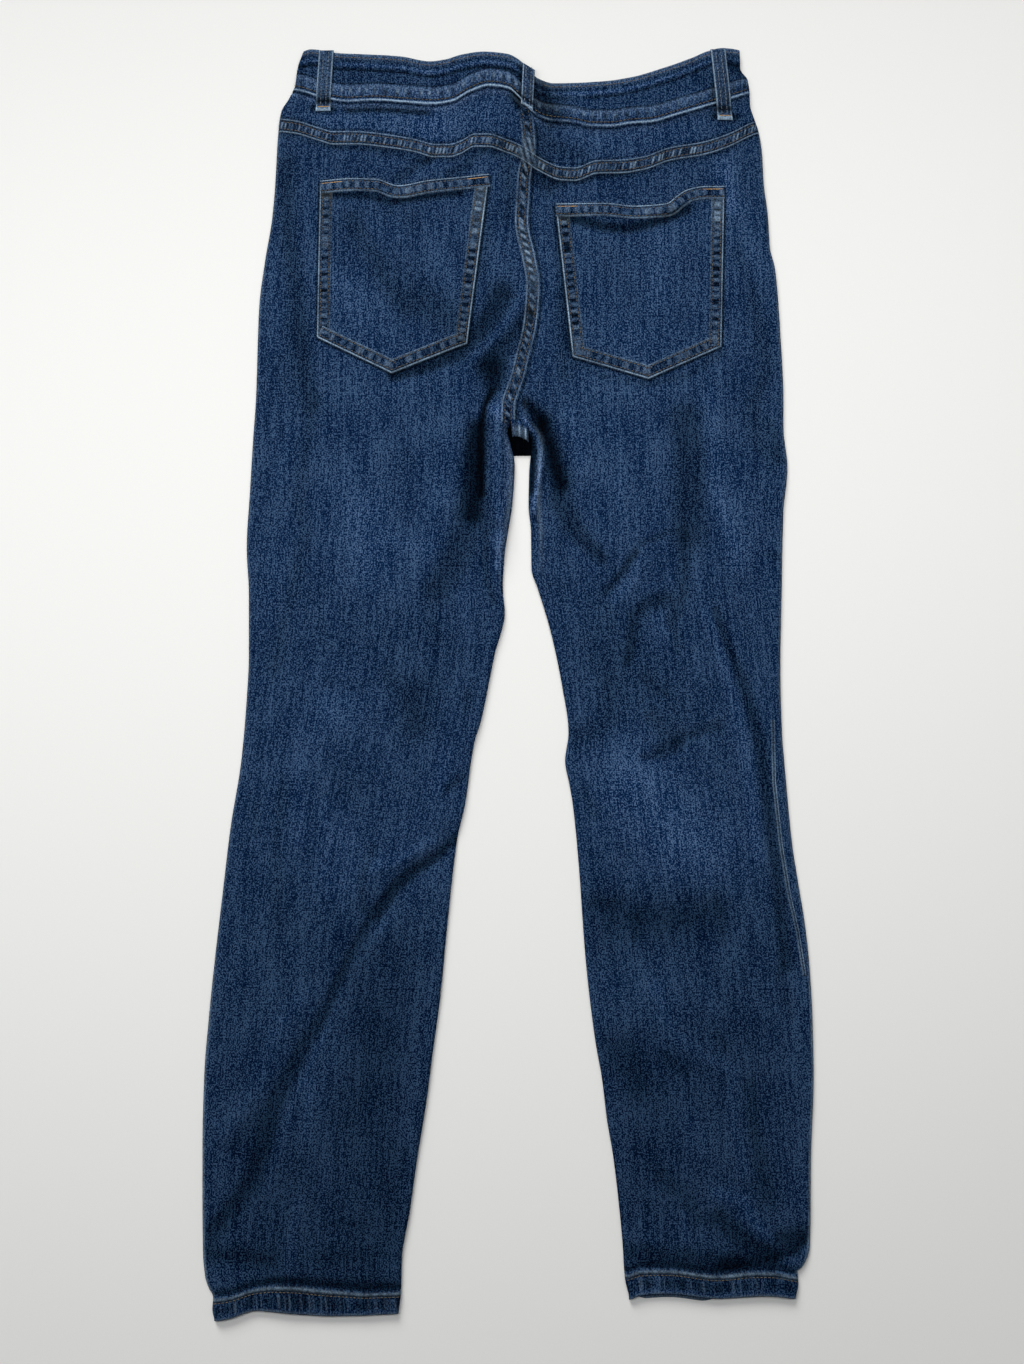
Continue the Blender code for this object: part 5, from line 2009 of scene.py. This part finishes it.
@dataclass
class Jeans:
    """The whole garment: its pieces and what they replace.

    Attributes:
        nodes: The CAD nodes by name.
        denim: Finish of the legs and the yokes.
        band_denim: Finish of the waistband and the loops.
        patch_denim: Finish of the pockets.
        brown: Stitches along the seams.
        grey: Stitches along the loops.
        tan: Short dense stitches at the ends of what is sewn on.
    """

    nodes: dict[str, Piece]
    denim: Material = field(init=False)
    band_denim: Material = field(init=False)
    patch_denim: Material = field(init=False)
    brown: StitchRows = field(init=False)
    grey: StitchRows = field(init=False)
    tan: StitchRows = field(init=False)

    def finishes(self) -> None:
        """Makes the denims, and readies the three threads."""
        self.denim = WornDenim("washed stretch denim").make()
        self.band_denim = WornDenim("washed stretch denim, doubled").make()
        self.patch_denim = WornDenim("washed stretch denim, patch").make()
        brown = Thread("brown polyester topstitch", "221d1a", "75684f").make()
        grey = Thread("faded blue-grey polyester topstitch", "2a333c", "8894a0").make()
        tan = Thread("tan polyester bartack", "8a6534", "cfa362").make()
        self.brown = StitchRows("topstitching", brown)
        self.grey = StitchRows("loop_stitches", grey)
        self.tan = StitchRows("bartacks", tan, pitch=0.8, length=2.2, thick=0.7)

    def settle(self, pieces: Sequence[Piece],
               replaced: Sequence[str] = (), flat: tuple[float, float] | None = None) -> None:
        """Args:
            pieces: The shell first, then what is on it.
            replaced: The solids that the shell stands for.
            flat: Width and length of its cut in metres. Not used.
        """
        for piece in pieces:
            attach(piece, BODY)
            LOG.info("%s: %d faces", piece.name, len(piece.data.polygons))
        if replaced:
            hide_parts(*replaced)
        if flat:
            list(pieces[1:])

    def build(self) -> None:
        """Builds every piece of the garment."""
        self.finishes()
        seam = CenterSeam(self.denim)
        for side in Side:
            self.leg(side, seam)
        band = Waistband(self.band_denim).make()
        self.settle(band, ["waistband_back"], (0.39, 0.037))
        self.pockets()
        self.loops()
        self.seam_stitches(seam)
        for rows in (self.brown, self.grey, self.tan):
            self.settle([rows.make()])
        self.metal()

    def leg(self, side: Side, seam: CenterSeam) -> None:
        """Makes and sews one leg, back and front.

        Args:
            side: Which side.
            seam: The centre back seam, which lies with the left leg.
        """
        name = side.value
        half = Half(side)
        back = BackPanel(half, self.denim).make()
        if side is Side.LEFT:
            back += seam.make()
        self.settle(back, [f"back_{name}"], (0.30, 1.03))
        yoke = Yoke(half, self.denim).make()
        self.settle(yoke, [f"yoke_{name}"], (0.21, 0.05))
        front = Front(half, self.denim)
        self.settle([front.panel()], [f"front_{name}"], (0.28, 1.04))
        self.settle([front.band(self.band_denim)],
                    [f"waistband_front_{name}"], (0.20, 0.035))
        start, end = sorted(half.edges(across_level(side, HEM_LEVEL[side] + 17.0)))
        x = np.linspace(start + 2.5, end - 2.5, 160)
        self.brown.along(stack(x, hem_level(side, HEM_STITCH)(x)), Lay.panel, 0.85)

    def seam_stitches(self, seam: CenterSeam) -> None:
        """Sews the yoke, the waistband and the centre back.

        Args:
            seam: The centre back seam.
        """
        for away in (-2.8, -8.7):
            for start, end in ((-190, 12), (27, 207)):
                self.brown.along(line_path(FELL_TOP, start, end, away), Lay.panel, 0.95)
        for start, end in ((-180, 8), (24, 201)):
            self.brown.along(line_path(WAIST_SEAM, start, end, BAND_STITCH), Lay.band, 0.75)
            self.brown.along(line_path(BAND_TOP, start + 8, end - 6, -3.9), Lay.band, 0.15)
        path = seam.path()
        for away in (3.0, FELL_WIDTH - 3.0):
            self.brown.along(offset_path(path, away), Lay.panel, 1.15)

    def pockets(self) -> None:
        """Makes and sews both pockets."""
        left = PatchPocket(
            Side.LEFT, self.patch_denim, (-162.0, 293.8), (-98.8, 263.4), (-34.8, 289.0),
            (-159.4, 425.3), (-16.1, 431.3), 0.8, (12.0, 44.0))
        right = PatchPocket(
            Side.RIGHT, self.patch_denim, (55.0, 277.4), (119.3, 258.6), (181.0, 286.0),
            (40.4, 405.9), (183.5, 420.8), 3.0, (12.0, 30.0))
        for pocket in (left, right):
            name = pocket.side.value
            self.settle(pocket.make(), [f"back_pocket_{name}"], (0.146, 0.17))
            for start, end in zip(pocket.corners, pocket.corners[1:]):
                run = np.linspace(start, end, 40)
                for away in (2.4, 8.9):
                    self.brown.along(offset_path(run, away)[1:-1], pocket.lie, 0.45)
            for down in (1.4, 7.6):
                path = pocket.mouth_path(np.linspace(0.99, 0.01, 60), down)
                self.brown.along(path, pocket.lie, 0.9)
            for ends in ((0.015, 0.125), (0.875, 0.985)):
                self.tan.along(pocket.mouth_path(np.array(ends), 1.6), pocket.lie, 1.0)

    def loops(self) -> None:
        """Makes and sews the three belt loops."""
        loops = (
            BeltLoop("left", self.band_denim, (-157.0, 486.4), (-154.0, 536.6)),
            BeltLoop("center", self.band_denim, (16.0, 488.8), (17.8, 522.8), width=9.8,
                     slant=3.0),
            BeltLoop("right", self.band_denim, (184.4, 478.8), (178.0, 537.4)),
        )
        for loop in loops:
            ends = np.array([loop.foot, loop.top])
            length = float(np.hypot(*(ends[1] - ends[0])))
            flat = ((loop.width + 0.6) * MM, (length + 8.0) * MM)
            self.settle(loop.make(), [f"belt_loop_{loop.name}"], flat)
            for shift in (-2.2, 2.2):
                run = offset_path(np.linspace(ends[0], ends[1], 20), shift)[1:-1]
                self.grey.along(run, loop.face, 0.0)
            if loop.name != "center":
                middle = mix(ends[0], ends[1], 3.0 / length)
                bar = np.array([middle + (-4.0, 0.0), middle + (4.0, 0.0)])
                self.tan.along(bar, loop.face, 0.25)

    def metal(self) -> None:
        """Gives the hidden zip and button their finish."""
        zip_metal = AgedMetal("tumbled brass zip teeth", "6c5429", "b99a55").make()
        button_metal = AgedMetal("tumbled brass-coloured zinc", "5d4930", "b08e5e").make()
        for node, finish in (("zip", zip_metal), ("button", button_metal)):
            for slot in self.nodes[node].material_slots:
                slot.material = finish


def main() -> None:
    """Loads the frame, builds the garment on it and sets up the picture."""
    logging.basicConfig(level=logging.INFO, format="%(name)s %(message)s")
    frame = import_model()
    deselect_all()
    Studio().make()
    jeans = Jeans(nodes=frame["nodes"])
    jeans.build()
    deselect_all()


if __name__ == "__main__":
    main()
